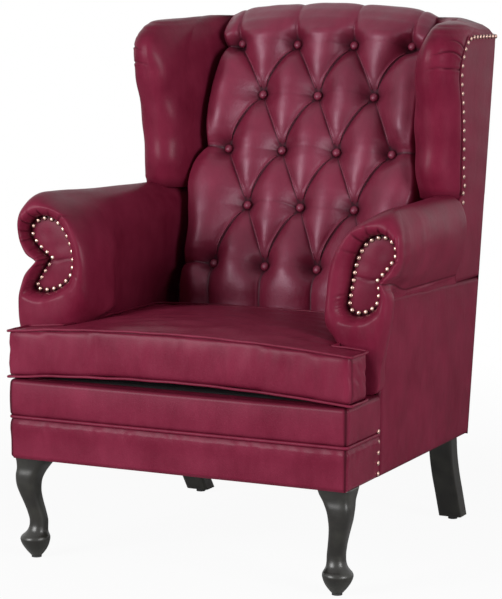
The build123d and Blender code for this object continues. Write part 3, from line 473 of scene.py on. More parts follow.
def cloth(name, colour, pitch=0.0011):
    """Woven cloth: two crossed waves for the threads, with slight unevenness."""
    finish = Finish(name)
    threads = [
        finish.add("ShaderNodeTexWave", {"bands_direction": way}, {
            "Vector": finish.place(), "Scale": 0.314 / pitch, "Distortion": 0.6, "Detail": 1.0}, out="Fac")
        for way in ("X", "Y")
    ]
    weave = threads[0] * 0.5 + threads[1] * 0.5
    shade = finish.mix(weave * 0.6 + finish.noise(0.03) * 0.4, tuple(c * 0.6 for c in colour), colour)
    bump = finish.bump(weave, 0.4, 0.0004)
    return finish.surface({"Base Color": shade, "Roughness": 0.85 + weave * 0.1, "Normal": bump})


def moulded(name, colour):
    """Moulded plastic: even, with a faint texture."""
    finish = Finish(name)
    fine = finish.noise(0.002)
    bump = finish.bump(fine, 0.1, 0.0004)
    return finish.surface({"Base Color": finish.mix(fine, colour, tuple(c * 1.3 for c in colour)),
                           "Roughness": 0.5 + fine * 0.1, "Normal": bump})


MADE = {}


def finish_of(name):
    """The material of this name, made when it is first asked for."""
    look = bpy.context.scene.chair_finishes
    makers = {
        "chair_leather": lambda: leather(look, "chair_leather", look.gloss),
        "rubbed_leather": lambda: leather(look, "rubbed_leather", look.rubbed_gloss),
        "dark_wood": lambda: dark_wood(look, "dark_wood"),
        "frame_wood": lambda: pale_wood("frame_wood"),
        "nail_brass": lambda: aged_metal("nail_brass", tuple(look.nail), tuple(look.nail_dark), 0.26, 0.0025),
        "spring_steel": lambda: aged_metal("spring_steel", (0.3, 0.3, 0.31), (0.08, 0.08, 0.085), 0.35, 0.01),
        "jute_webbing": lambda: cloth("jute_webbing", (0.42, 0.32, 0.18), 0.0022),
        "black_cloth": lambda: cloth("black_cloth", (0.016, 0.016, 0.018)),
        "glide_plastic": lambda: moulded("glide_plastic", (0.02, 0.02, 0.02)),
    }
    if name not in MADE:
        MADE[name] = makers[name]()
    return MADE[name]


def settle(piece, body, slot, finish, *nodes, padded=None):
    """Gives the piece its finish, its body and the CAD nodes that it stands for."""
    piece.data.materials.clear()
    piece.data.materials.append(finish_of(finish))
    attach(piece, body)
    if nodes:
        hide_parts(*nodes)
    return piece


# ---------------------------------------------------------------- forms

def button_places():
    """Button centres on the raked plane: four and three to a row in turn, closer together lower down."""
    places = []
    for row, z in enumerate(ROW_HEIGHTS):
        spacing = 125 + 12 * (z - ROW_HEIGHTS[0]) / 482
        for step in ((-1.5, -0.5, 0.5, 1.5) if row % 2 == 0 else (-1, 0, 1)):
            places.append((row, step, step * spacing, z))
    return places


def sway(dx, dt, share):
    """How far a pleat bows aside on its way from one button to the next."""
    return (7.0 if dx > 0 else 3.0) * np.sin(math.pi * share) * (1 if dx * dt > 0 else -1)


def back_surface(look, columns=250, rows=300):
    """Tufted back. A profile runs up the raked plane and over the top. On it stand pillows whose height is the
    product, over all pleats, of 1 - e^(-distance / softness), so that they meet in sharp creases. The raised
    lips beside the pleats are returned as lines that lie on the same surface."""
    half = SEAT_HALF - 0.5
    profile = np.array([
        (131, 382), (131, 440), (130, 480), (134, 510), (157.4, 566), (205.4, 693), (251.6, 815), (297.4, 936),
        (339.6, 1048), (348, 1074), (356, 1098), (368, 1116), (383, 1124), (396, 1121), (402, 1112),
    ])
    lengths = np.concatenate([[0], np.cumsum(np.linalg.norm(np.diff(profile, axis=0), axis=1))])
    t = np.linspace(0, lengths[-1], rows)
    y_line = flow(lengths, profile[:, 0], t)
    z_line = flow(lengths, profile[:, 1], t)
    slope_y, slope_z = np.gradient(y_line, t), np.gradient(z_line, t)
    size = np.hypot(slope_y, slope_z)
    out_y, out_z = -slope_z / size, slope_y / size
    x = np.linspace(-half, half, columns)[None, :] + 0 * t[:, None]
    up = np.interp(z_line, profile[:9, 1], lengths[:9])[:, None] + 0 * x
    up = np.where(t[:, None] > lengths[8], t[:, None], up)
    height_of = {z: np.interp(z, profile[:9, 1], lengths[:9]) for z in ROW_HEIGHTS}

    places = button_places()
    spots = [(bx, height_of[bz]) for _, _, bx, bz in places]
    keys = {(row, step): spot for (row, step, _, _), spot in zip(places, spots)}
    lines = []
    for row in range(4):
        for (r, step), spot in keys.items():
            if r == row:
                for shift in (-0.5, 0.5):
                    if (row + 1, step + shift) in keys:
                        lines.append((spot, keys[(row + 1, step + shift)], 1.0))
    for (row, step), (bx, bt) in keys.items():
        if row == 4:
            lines.append(((bx, bt), (bx * 1.07, lengths[-1] + 20), 0.8))
        if row == 0:
            lines.append(((bx, bt), (bx * 0.97, lengths[0]), 0.8))
        if abs(step) == 1.5:
            lines.append(((bx, bt), (math.copysign(half + 20, bx), bt + (6 if row else -14)), 0.75))

    field = np.ones_like(x)
    nearest = np.full_like(x, 1e3)
    lip = np.zeros_like(x)
    top = ease(lengths[8] + 12, lengths[-1] - 30, up)
    for (ax, at), (bx, bt), strength in lines:
        dx, dt = bx - ax, bt - at
        span = math.hypot(dx, dt)
        share = np.clip(((x - ax) * dx + (up - at) * dt) / span**2, 0, 1)
        side = ((x - ax) * dt - (up - at) * dx) / span + sway(dx, dt, share) * (strength == 1.0)
        end = np.hypot(x - ax - share * dx, up - at - share * dt)
        distance = np.where((share > 0) & (share < 1), np.abs(side), end)
        upper = at >= lengths[8] - 1 and strength < 1
        hold = strength * (1 - 0.4 * top) if upper else strength
        width = look.softness * (0.4 if upper else 1.0 if strength == 1.0 else 0.7)
        field = field * (1 - hold * np.exp(-distance / width))
        nearest = np.minimum(nearest, distance + 40 * (strength < 1) * top)
        inside = np.sin(math.pi * share) ** 0.4 * ((share > 0) & (share < 1)) * strength
        way = -1 if dx * dt > 0 else 1
        lip += (1.9 * bell(side * way - 3.1, 1.7) - 2.4 * bell(side, 1.2)
                - 1.0 * bell(side * way - 6.4, 1.2)) * inside
    near_button = np.full_like(x, 1e3)
    ripple = np.zeros_like(x)
    for k, (bx, bt) in enumerate(spots):
        away = np.hypot(x - bx, up - bt)
        turn = np.arctan2(up - bt, x - bx)
        near_button = np.minimum(near_button, away)
        ripple += np.sin(9 * turn + 1.7 * k + 1.5 * np.sin(2 * turn + k)) * bell(away - 16, 8.0)
    tension = np.zeros_like(x)
    for k, ((row, step), (bx, bt)) in enumerate(keys.items()):
        if (row, step + 1) in keys:
            share = (x - bx) / (keys[(row, step + 1)][0] - bx)
            sag = 5 * np.sin(math.pi * np.clip(share, 0, 1)) * (1 if k % 2 else -1)
            depth = 1.6 if row == 1 and step == -1 else 0.7
            between = (share > 0) & (share < 1)
            tension += depth * bell(up - bt + sag, 2.4) * between * np.abs(2 * share - 1) ** 0.5

    outer = ease(200, half, np.abs(x))
    foot = 1 - ease(lengths[2], lengths[4], up)
    lift = look.pleat_rise * (1 - bell(near_button, 24.0)) * (1 - 0.35 * top) * (1 - 0.8 * foot)
    pit = 5.0 * bell(near_button, 15.0)
    swell = look.pillow * (field / 0.55) * (1 - 0.78 * top) * (1 - 0.5 * foot) * (1 - 0.35 * outer)
    brink = flow([382, 566, 640, 690, 735, 775, 815, 870, 936, 1000, 1048, 1085, 1124],
                 [262, 252, 250, 260, 269, 264, 247, 249, 248, 240, 235, 246, 250], z_line)[:, None]
    fall = 84 - 22 * ease(980, 1040, z_line)[:, None]
    edge = 9 * ease(brink - 46, brink, np.abs(x)) ** 2 + fall * ease(brink - 4, brink + 30, np.abs(x))
    crease = 0.5 * waves(x, up, 5, 9, 70.0) + 0.3 * waves(x * 0.4, up, 6, 7, 19.0) * bell(near_button - 36, 30.0)
    rise = lift + swell - pit - edge + lip * (1 - 0.7 * top) * ease(10, 34, near_button)
    rise = rise + 0.55 * ripple - tension
    rise = rise + crease * (1 - np.exp(-nearest / 12))
    rise = rise * (1 - ease(lengths[-1] - 14, lengths[-1], up) * 0.9)
    rise = np.minimum(rise, 30 + 400 * ease(lengths[2] - 5, lengths[3] + 12, up))
    arch = x * x / (2 * ARCH_RADIUS) * ease(lengths[7] + 30, lengths[-1] - 40, up)
    points = np.stack([
        x, y_line[:, None] + out_y[:, None] * rise, z_line[:, None] + out_z[:, None] * rise - arch,
    ], axis=-1)
    points[..., 1] = np.minimum(points[..., 1], rear_y(points[..., 2], 12.0))
    # Painted shade: darker along the pleats, in a pit round each button, where the pad's edge rolls back beside the
    # wings, and along the tension lines between buttons.
    fold = np.exp(-((nearest / 2.2) ** 1.5)) + 0.9 * bell(near_button, 13.0) + 0.5 * bell(near_button, 25.0)
    fold = fold + 0.9 * ease(brink, brink + 16, np.abs(x)) + 0.25 * np.clip(tension, 0, 1)
    lips = []
    share = np.linspace(0.13, 0.88, 40)
    stand = np.array([0.0, out_y[200], out_z[200]]) * (0.5 - 1.6 * np.abs(2 * share - 1) ** 6)[:, None]
    for (ax, at), (bx, bt), strength in lines:
        if strength < 1:
            continue
        dx, dt = bx - ax, bt - at
        off = (-2.9 if dx * dt > 0 else 2.9) * np.sin(math.pi * (share - 0.05) / 0.9) ** 0.5 - sway(dx, dt, share)
        across = ax + dx * share + dt / math.hypot(dx, dt) * off
        along_t = at + dt * share - dx / math.hypot(dx, dt) * off
        column = (across + half) / (2 * half) * (columns - 1)
        row = np.interp(along_t, up[:, 0], np.arange(rows))
        c, r = column.astype(int), row.astype(int)
        u, v = (column - c)[:, None], (row - r)[:, None]
        here = ((points[r, c] * (1 - u) + points[r, c + 1] * u) * (1 - v)
                + (points[r + 1, c] * (1 - u) + points[r + 1, c + 1] * u) * v)
        lips.append(here + stand)
    return points, fold, lips


# Gathers on the front rolls of the wings: height, depth, bow, and how far round the roll they reach
WING_GATHERS = ((1003, 2.2, 7, 2.15), (1031, 2.6, 12, 2.05), (1050, 2.2, 16, 1.75), (1018, 0.9, 5, 1.5))


def wing_surface(columns=60, rows=120):
    """Right wing. Level outlines: a flat outer side, two elliptical quarters round the front and a plain inner
    side back to the crease. Their sizes follow smooth curves of the height, and the top closes like a dome."""
    heights = np.array([700, WING_FOOT, 790, 850, 923, 984, 1036, 1060, 1080, 1094, 1102, WING_TOP])
    fronts = np.array([152, 152, 143, 140, 126, 108, 102, 110, 128, 150, 186, 240])
    flats = np.array([205, 205, 205, 205, 198, 184, 200, 218, 244, 272, 300, 322])
    outers = np.array([377, 377, 377, 377, 377, 377, 377, 376.5, 375, 371, 363, 352])
    inners = np.array([284, 280, 272, 270, 272, 277, 285, 290, 295, 300, 306, 311])
    rears = np.array([266, 266, 264, 258, 256, 250, 240, 238, 238, 242, 248, 254])
    puffs = np.array([1, 1, 2, 3, 5, 8, 9, 9, 8, 6, 3, 0])
    z = WING_FOOT + (WING_TOP - WING_FOOT) * np.sin(np.linspace(0, math.pi / 2, rows)) ** 0.9
    z[0] = WING_FOOT - 8
    front, flat, outer, inner, inner_rear, puff = (
        flow(heights, v, z)[:, None] for v in (fronts, flats, outers, inners, rears, puffs))
    z = z[:, None]
    middle, reach = (outer + inner) / 2, (outer - inner) / 2
    face = front + (flat - front) * 1.2
    rear = rear_y(z, 6.0) - 22 * ease(1072, 1106, z)
    a = np.linspace(0, 1, columns)[None, :]
    side = np.stack(np.broadcast_arrays(outer, rear + (flat - rear) * a), -1)
    turn = a * math.pi / 2
    bulge = puff * np.sin(math.pi * a) ** 0.75
    quarter = np.stack(np.broadcast_arrays(middle + reach * np.cos(turn) + bulge,
                                           flat - (flat - front) * np.sin(turn) - 0.3 * bulge), -1)
    second = np.stack(np.broadcast_arrays(middle - reach * np.sin(turn),
                                          front + (face - front) * (1 - np.cos(turn))), -1)
    crease = np.minimum(button_y(z) + 62, rear - 8)
    deep = np.stack(np.broadcast_arrays(inner + (inner_rear - inner) * a**1.3,
                                        face + (np.maximum(crease, face + 4) - face) * a), -1)
    last = deep[:, -1]
    closing = last[:, None] + (np.stack([last[:, 0] - 16, rear[:, 0]], -1) - last)[:, None] * a[..., None]
    back = closing[:, -1:] + (side[:, :1] - closing[:, -1:]) * a[..., None]
    line = np.concatenate([side, quarter[:, 1:], second[:, 1:], deep[:, 1:], closing[:, 1:], back[:, 1:-1]], axis=1)
    points = np.concatenate([line, z[..., None] + 0 * line[..., :1]], axis=-1)
    at = np.arange(line.shape[1])[None, :] / (columns - 1)
    normal = facets(points, wrap=True)
    centre = points.mean(axis=1, keepdims=True)
    normal *= np.sign(np.sum(normal * (points - centre), axis=-1).mean())
    on_roll = ease(1.02, 1.3, at) * (1 - ease(2.3, 2.9, at))
    drop = np.zeros_like(at + z)
    for height, depth, bow, stop in WING_GATHERS:
        path = height + bow * np.sin(math.pi * np.clip(at - 1.1, 0, 1)) + 1.5 * np.sin(9 * at + height)
        drop += depth * (bell(z - path, 1.7) - 0.5 * bell(z - path + 4.5, 2.2)) * ease(1.1, 1.16, at) * (
            1 - ease(stop - 0.5, stop, at))
    puffing = 1.6 * waves(z, at * 40, 21, 6, 60.0) * on_roll
    lower = 1 - ease(WING_FOOT, WING_FOOT + 14, z)
    shift = puffing - drop - 5 * lower * on_roll
    shift = shift + 1.1 * waves(z * 0.6, at * 55, 22, 8, 90.0) * ease(2.2, 2.6, at) * (at < 4)
    shift = shift - 5.0 * bell(at - 1.1, 0.032) * (1 - ease(1068, 1078, z))
    points = points + normal * shift[..., None] * (1 - ease(1088, 1104, z))[..., None]
    high, far = ease(1040, 1104, z), ease(200, 345, points[..., 1])
    points[..., 2] += high * far * (7 - 21 * ease(290, 385, points[..., 0]))
    # Painted shade: darker in the gathers, in the groove beside the nail line, in the deep crease against the back, and
    # along the wing's foot.
    fold = np.clip(drop / 3.0, 0, 0.8) + bell(at - 1.1, 0.045) * (1 - ease(1070, 1080, z))
    fold = fold + 0.9 * ease(3.45, 3.95, at) * (at <= 4)
    fold = fold + 0.7 * bell(z - WING_FOOT, 7.0) * (at > 1)
    return points, fold


# Where gathers lie, as shares of the way round the facing from its notch over the top, and their depth
GATHERS = ((0.02, 0.6), (0.07, 0.5), (0.112, 0.7), (0.15, 0.9), (0.185, 1.0), (0.22, 0.8), (0.252, 1.1),
           (0.285, 0.8), (0.32, 1.0), (0.36, 0.5), (0.47, 0.3), (0.74, 0.5), (0.82, 0.4), (0.91, 0.5), (0.975, 0.7))


def arm_surface(look, side, rim_rows=48, roll_rows=70):
    """Arm, on the right. The outline swells out of the facing to the crest of a half-round bead, spreads down to
    the seat at the rim, settles into the roll and the inside wall, and narrows to the back. Gathers are narrow
    dips across the bead, each a bell curve in the share of the way round."""
    facing, crest, rim = (loop(table[side]) for table in (FACINGS, CRESTS, RIMS))
    roll, rear = loop(ROLL), loop(ROLL_END)
    share = np.linspace(0, 1, len(facing))[None, :]
    turn = np.linspace(0, math.pi, rim_rows)
    swell = np.clip(1 - np.cos(turn), 0, 1)[:, None, None] ** 0.85
    spread = np.clip(-np.cos(turn), 0, 1)[:, None, None]
    ring = (facing + (crest - facing) * swell) * (1 - spread) + rim * spread
    round_in = ease(0.16, 0.3, share) * (1 - ease(0.5, 0.62, share))
    rim_y = RIM_Y + 62 * round_in
    low_y = np.where(turn[:, None] < math.pi / 2, FACING_Y + 3, rim_y)
    hang = 0.3 + 0.7 * ease(396, 500, ring[..., 1])
    curve = np.where(turn < math.pi / 2, 0.8, 0.9)
    bead_y = low_y + (FACING_Y - 12 - look.rim_puff - low_y) * (np.sin(turn) ** curve)[:, None] * hang
    v = np.linspace(0, 1, roll_rows)[1:, None]
    guess = rim_y + (ARM_REAR_Y - rim_y) * v**1.15
    low = ease(0.66, 0.74, share) * (1 - ease(0.97, 1.0, share))
    settled = ease(-270, -110, guess) * (1 - low) + ease(RIM_Y, -196, guess) * low
    settled = (settled * (1 - round_in) + ease(0.0, 1.0, (guess - rim_y) / 110) * round_in)[..., None]
    behind = np.clip((guess + 150) / (ARM_REAR_Y + 150), 0, 1)[..., None]
    body = rim * (1 - settled) + roll * settled
    body = body * (1 - behind) + rear * behind
    flat = np.concatenate([ring, body])
    reach = ARM_REAR_Y + 110 * (1 - ease(334, 362, rear[:, 0]))
    y = np.concatenate([bead_y, rim_y + (reach - rim_y) * v**1.15])
    points = np.stack([flat[..., 0], y, flat[..., 1]], axis=-1)
    travel = np.concatenate([turn[:, None] / math.pi + 0 * share, 1 + (guess - rim_y) / 120])
    normal = facets(points)
    middle = np.array([366.0, 0.0, 655.0]) + points * [0, 1, 0]
    normal *= np.sign(np.sum(normal * (points - middle), axis=-1)[rim_rows:].mean())
    dips = np.zeros_like(share + travel)
    chance = np.random.default_rng(11 if side == "right" else 12)
    for k, (spot, deep) in enumerate(GATHERS):
        lean = chance.uniform(-0.014, 0.014)
        stop = chance.uniform(0.42, 0.78) * (0.5 if 0.6 < spot < 0.95 else 1.0)
        path = spot + lean * (travel - 0.3) + 0.002 * np.sin(7 * travel + k)
        window = ease(0.02, 0.16, travel) * (1 - ease(stop * 0.5, stop, travel))
        dips += deep * (bell(share - path, 0.003) - 0.45 * bell(share - path - 0.0065, 0.004)) * window
    fan = np.sin(2 * math.pi * share * 60 + 2.2 * np.sin(share * 25)) * ease(0.02, 0.1, travel)
    fan = fan * (1 - ease(0.2, 0.42, travel)) * 0.22
    crease = bell(share - 0.985, 0.012) * ease(0.5, 1.0, travel) * (1 - ease(1.4, 1.9, travel))
    valley = 0.5 * bell(travel - 1.02, 0.13) * ease(0.0, 0.05, share) * (1 - ease(0.17, 0.25, share))
    radial = np.sin(2 * math.pi * share * 38 + 3 * np.sin(share * 31)) * bell(travel - 1.02, 0.14) * 0.22
    radial = radial * (1 - ease(0.3, 0.4, share))
    uneven = waves(share * 900, travel * 70, 31, 8, 90.0)
    ends = ease(0, 0.02, share) * (1 - ease(0.98, 1.0, share))
    shift = -look.gather * dips + fan + radial - 2.0 * crease - 3.0 * valley
    shift = shift + 0.7 * uneven * ease(0.1, 0.5, travel)
    shift = shift * (1 - ease(0.4, 0.46, share) * (1 - ease(0.68, 0.72, share)) * ease(1.2, 1.8, travel))
    points = points + normal * (shift * ends)[..., None]
    # Painted shade: darker in the gathers, in the groove where the bead rises from the facing, in the valley behind the
    # rim, and along the notch.
    fold = 0.7 * np.clip(dips, 0, 1) + 0.95 * bell(travel, 0.1) + 0.35 * valley
    fold = fold + 0.7 * (bell(share, 0.004) + bell(share - 1, 0.004)) * (travel > 0.1)
    last, core = points[-1], np.array([372.0, 0.0, 640.0])
    rings = [core * [1, 0, 1] + (last - core) * [k, 0, k] + [0, 1, 0] * (last + [0, h, 0])
             for k, h in ((0.975, 6), (0.93, 9), (0.86, 11), (0.4, 11))]
    points = np.concatenate([points, np.stack(rings)])
    # Painted shade on the rings that close the arm's back end.
    fold = np.concatenate([fold, np.array([0.1, 0.3, 0.5, 0.5])[:, None] + 0 * share])
    return points, fold


def facing_surface(side, rings=26):
    """Facing, on the right: rings that shrink the outline to its middle, domed by 1 - r^4, with a soft level
    wrinkle."""
    facing = loop(FACINGS[side])
    r = np.linspace(1.0, 0.0, rings)[:, None]
    x, z = (FACING_MIDDLE[k] + (facing[None, :, k] - FACING_MIDDLE[k]) * r for k in (0, 1))
    rise = 3.5 * (1 - r**4) + 0.5 * waves(x, z, 51, 6, 40.0) * (1 - r)
    rise = rise - 1.6 * bell(z - 609 - 3 * np.sin(x / 12), 3.0) * bell(x - 350, 34.0)
    # Painted shade: darker towards the facing's rim by the nails, and along its soft level wrinkle.
    fold = 0.95 * ease(0.8, 1.0, r) + 0.25 * bell(z - 609, 4.0) + 0 * x
    return np.stack([x, FACING_Y - rise, z], axis=-1), fold


def corner_seam(path):
    """Share of a seam on each point of a level path: a bell curve round each of its two front corners."""
    return sum(bell(np.hypot(path[:, 0] - side * 371, path[:, 1] + 409), 3.1) for side in (-1, 1))[None, :]


def seat_path(radius, front=-410.0, half=375.0, end=-247.0, inset=0.0, count=260):
    """Line round the front of the seat, from the right side round both corners to the left side."""
    half, front, radius = half - inset, front + inset, max(radius - inset, 1.0)
    turn = np.linspace(0, math.pi / 2, 14)
    right = np.stack([half - radius + radius * np.cos(turn), front + radius - radius * np.sin(turn)], axis=1)
    left = np.stack([-half + radius - radius * np.sin(turn), front + radius - radius * np.cos(turn)], axis=1)
    line = np.vstack([[half, end], right, left, [-half, end]])
    return along(line, count)


def strip(path, outs, heights, puff=None):
    """A profile of (outward, height) pairs carried round a level path, with outward square to the path."""
    tangent = np.gradient(path, axis=0)
    tangent /= np.linalg.norm(tangent, axis=1, keepdims=True)
    outward = np.stack([-tangent[:, 1], tangent[:, 0]], axis=1)
    if outward[len(path) // 2, 1] > 0:
        outward = -outward
    outs = np.asarray(outs, float)[:, None] + (0 if puff is None else puff)
    flat = path[None] + outward[None] * outs[..., None]
    rows, columns = len(outs), len(path)
    z = np.broadcast_to(np.asarray(heights, float)[:, None], (rows, columns))
    return np.concatenate([np.broadcast_to(flat, (rows, columns, 2)), z[..., None]], axis=-1)


def panel(front, back, bottom, top, x=HALF_WIDTH, columns=70, rows=80, bulge=2.5, seed=61, depth=8.0, lip=9.0):
    """Covered side panel at this x: straight across between two upright edges that are functions of the height,
    slightly domed, and rolled in at its rim by a quarter round."""
    u = np.linspace(0, 1, columns)
    v = np.linspace(0, 1, rows)[:, None]
    u = (1 - np.cos(u * math.pi)) / 2
    v = (1 - np.cos(v * math.pi)) / 2
    guess = front((bottom + 500) / 2) + (back(500.0) - front((bottom + 500) / 2)) * u[None]
    z = bottom + (top(guess) - bottom) * v
    y = front(z) + (back(z) - front(z)) * u[None]
    wide, tall = back(z) - front(z), top(guess) - bottom
    to_side = np.minimum(u[None], 1 - u[None]) * wide
    to_end = np.minimum(v, 1 - v) * tall
    near = np.minimum(to_side, to_end)
    roll = np.clip(near / lip, 0, 1)
    x = x - depth * (1 - np.sqrt(np.clip(1 - (1 - roll) ** 2, 0, 1)))
    x = x + bulge * np.sin(math.pi * u[None]) ** 0.6 * np.sin(math.pi * v) ** 0.6
    x = x + 0.5 * waves(y, z, seed, 8, 110.0) * np.clip(near / 30, 0, 1)
    # Painted shade: darker where the panel rolls in at its rim.
    fold = 0.85 * np.exp(-near / 4.5)
    return np.stack([x, y, z], axis=-1), fold


def wing_edge_y(z):
    """Front edge of the flat wing side at height z."""
    heights = (551, 720, WING_FOOT, 790, 835, 880, 918, 950, 976, 990, 1012, 1034, 1052, 1064, 1073, WING_SIDE_TOP)
    fronts = (165, 165, 196, 199, 199, 197, 192, 186, 179.5, 178, 181.5, 190.5, 204, 218.5, 236, 254)
    return flow(heights, fronts, np.clip(z, 551, WING_SIDE_TOP))


def cushion_line(ear=-320.0, count=900):
    """T-shaped outline of the seat cushion with small rounded corners, from the right rear corner clockwise."""
    half, inner, front, rear = CUSHION_HALF, CUSHION_INNER, CUSHION_FRONT, CUSHION_REAR
    corners = [
        (inner, rear, 22), (inner, ear, 7), (half, ear, 10), (half, front, 9),
        (-half, front, 9), (-half, ear, 10), (-inner, ear, 7), (-inner, rear, 22),
    ]
    line = []
    for k, (x, y, radius) in enumerate(corners):
        before = np.array(corners[k - 1][:2], float)
        after = np.array(corners[(k + 1) % 8][:2], float)
        here = np.array([x, y], float)
        into = (before - here) / np.linalg.norm(before - here)
        onto = (after - here) / np.linalg.norm(after - here)
        t = np.linspace(0, 1, 9)[:, None]
        line.append((1 - t) ** 2 * (here + into * radius) + 2 * t * (1 - t) * here + t * t * (here + onto * radius))
    return along(np.vstack(line), count, closed=True)


def cushion_heights(x, y):
    """Bottom and top of the cushion's rim: both arch up along the front, and the arch dies away backwards."""
    across = 1 - np.clip(np.abs(x) / CUSHION_HALF, 0, 1) ** 2.2
    forward = ease(-200, -400, y)
    bottom = 382 + 18 * across * forward
    top = 475 + 19 * across * (0.35 + 0.65 * forward)
    return bottom, top


def cabriole(columns=56, rows=150):
    """Right front leg. Each level is a superellipse whose exponent falls from nearly square to round, and whose
    middle swings out to the knee and in to the ankle along the outward diagonal. The foot is a pad."""
    z_knots = np.array([4, 9, 16, 26, 34, 40, 45, 50, 56, 64, 76, 97, 122, 140, 152, 165, 176, 190, 202, LEG_TOP])
    outs = np.array([0, 0.2, 0.6, 1.6, 2.4, 2.4, 1.4, -0.6, -2.8, -4.8,
                     -5.6, -1, 7.2, 12.6, 14.6, 14.6, 12.2, 6, 1.5, 0])
    sizes = np.array([11, 15.5, 21, 27, 30, 31, 29.6, 25.6, 21.6, 19.4,
                      18.6, 18.4, 19.4, 21, 22.6, 24.2, 26, 28.6, 32.4, 35])
    powers = np.array([2, 2, 2, 2, 2, 2, 2, 2, 2.1, 2.2, 2.3, 2.5, 2.8, 3.1, 3.3, 3.5, 3.8, 4.4, 5, 5.5])
    z = np.concatenate([np.linspace(4, 60, rows // 2, endpoint=False), np.linspace(60, LEG_TOP, rows - rows // 2)])
    out, size, power = (flow(z_knots, v, z)[:, None] for v in (outs, sizes, powers))
    turn = np.linspace(0, 2 * math.pi, columns, endpoint=False)[None, :] + math.pi / 4
    c, s = np.cos(turn), np.sin(turn)
    reach = (np.abs(c) ** power + np.abs(s) ** power) ** (-1 / power)
    shift = out / math.sqrt(2)
    x = FRONT_LEG[0] + shift + size * reach * c
    y = FRONT_LEG[1] - shift + size * reach * s
    return np.stack([x, y, z[:, None] + 0 * x], axis=-1)


def rear_leg(columns=56, rows=60):
    """Right rear leg: rounded rectangles that sweep back along a smooth curve to the floor."""
    z = np.linspace(8, 213, rows)
    up = (z - 8) / 205
    sweep = flow((0, 0.3, 0.54, 0.78, 1), (1, 0.62, 0.31, 0.09, 0), up)[:, None]
    turn = np.linspace(0, 2 * math.pi, columns, endpoint=False)[None, :] + 0.02
    c, s = np.cos(turn), np.sin(turn)
    reach = (np.abs(c) ** 14 + np.abs(s) ** 14) ** (-1 / 14)
    x = REAR_LEG[0] - 11 * sweep + 26 * reach * c
    y = REAR_LEG[1] + 104 * sweep + 22 * reach * s
    return np.stack([x, y, z[:, None] + 0 * x], axis=-1)


# ---------------------------------------------------------------- settings

class ChairFinishes(bpy.types.PropertyGroup):
    """Colours and surface of leather, wood and nails."""

    colour: bpy.props.FloatVectorProperty(
        name="Leather", description="Main colour of the leather", subtype="COLOR", size=3, min=0, max=1,
        default=(0.172, 0.0105, 0.035))
    # The deep tone colours the darker random clouds, and a third of it is the colour of the painted shade in creases,
    # seams and recesses.
    deep: bpy.props.FloatVectorProperty(
        name="Deep", description="Leather in folds and darker clouds", subtype="COLOR", size=3, min=0, max=1,
        default=(0.075, 0.003, 0.011))
    pale: bpy.props.FloatVectorProperty(
        name="Pale", description="Leather where it is rubbed or stretched", subtype="COLOR", size=3, min=0, max=1,
        default=(0.33, 0.05, 0.095))
    rough: bpy.props.FloatProperty(
        name="Roughness", description="Roughness of the leather", subtype="FACTOR", min=0, max=1, default=0.4)
    gloss: bpy.props.FloatProperty(
        name="Gloss", description="How much light the leather mirrors", subtype="FACTOR", min=0, max=1, default=0.06)
    rubbed_gloss: bpy.props.FloatProperty(
        name="Gloss of the back", description="How much light the rubbed leather of the back mirrors",
        subtype="FACTOR", min=0, max=1, default=0.44)
    wax: bpy.props.FloatProperty(
        name="Wax", description="How much wax lies on the leather", subtype="FACTOR", min=0, max=1, default=0.14)
    grain: bpy.props.FloatProperty(
        name="Grain", description="Size of the leather's pebbles", subtype="DISTANCE", unit="LENGTH", default=0.0016)
    wood: bpy.props.FloatVectorProperty(
        name="Leg wood", description="Stain of the legs", subtype="COLOR", size=3, min=0, max=1,
        default=(0.012, 0.011, 0.009))
    wood_worn: bpy.props.FloatVectorProperty(
        name="Rubbed wood", description="Legs where the stain is rubbed", subtype="COLOR", size=3, min=0, max=1,
        default=(0.038, 0.038, 0.029))
    nail: bpy.props.FloatVectorProperty(
        name="Nails", description="Bright metal of the nail heads", subtype="COLOR", size=3, min=0, max=1,
        default=(0.62, 0.40, 0.34))
    nail_dark: bpy.props.FloatVectorProperty(
        name="Nail patina", description="Patina of the nail heads", subtype="COLOR", size=3, min=0, max=1,
        default=(0.09, 0.045, 0.035))


class ChairSizes(bpy.types.PropertyGroup):
    """Sizes of the soft forms, in millimetres."""

    pillow: bpy.props.FloatProperty(name="Pillows", description="Rise of the tufted pillows", min=5, max=45, default=25)
    pleat_rise: bpy.props.FloatProperty(
        name="Pleats", description="Rise of a pleat between two buttons", min=0, max=25, default=13)
    softness: bpy.props.FloatProperty(
        name="Softness", description="Width over which a pillow rolls into a pleat", min=6, max=40, default=25)
    rim_puff: bpy.props.FloatProperty(
        name="Arm rim", description="How far the arm's rim stands in front of the facing", min=10, max=60, default=25)
    gather: bpy.props.FloatProperty(
        name="Gathers", description="Depth of the gathers on the arms", min=0, max=8, default=2.3)
    cushion_cap: bpy.props.FloatProperty(
        name="Cushion swell", description="Farthest that the cushion's leather swells", min=0, max=25, default=9)


# ---------------------------------------------------------------- operators

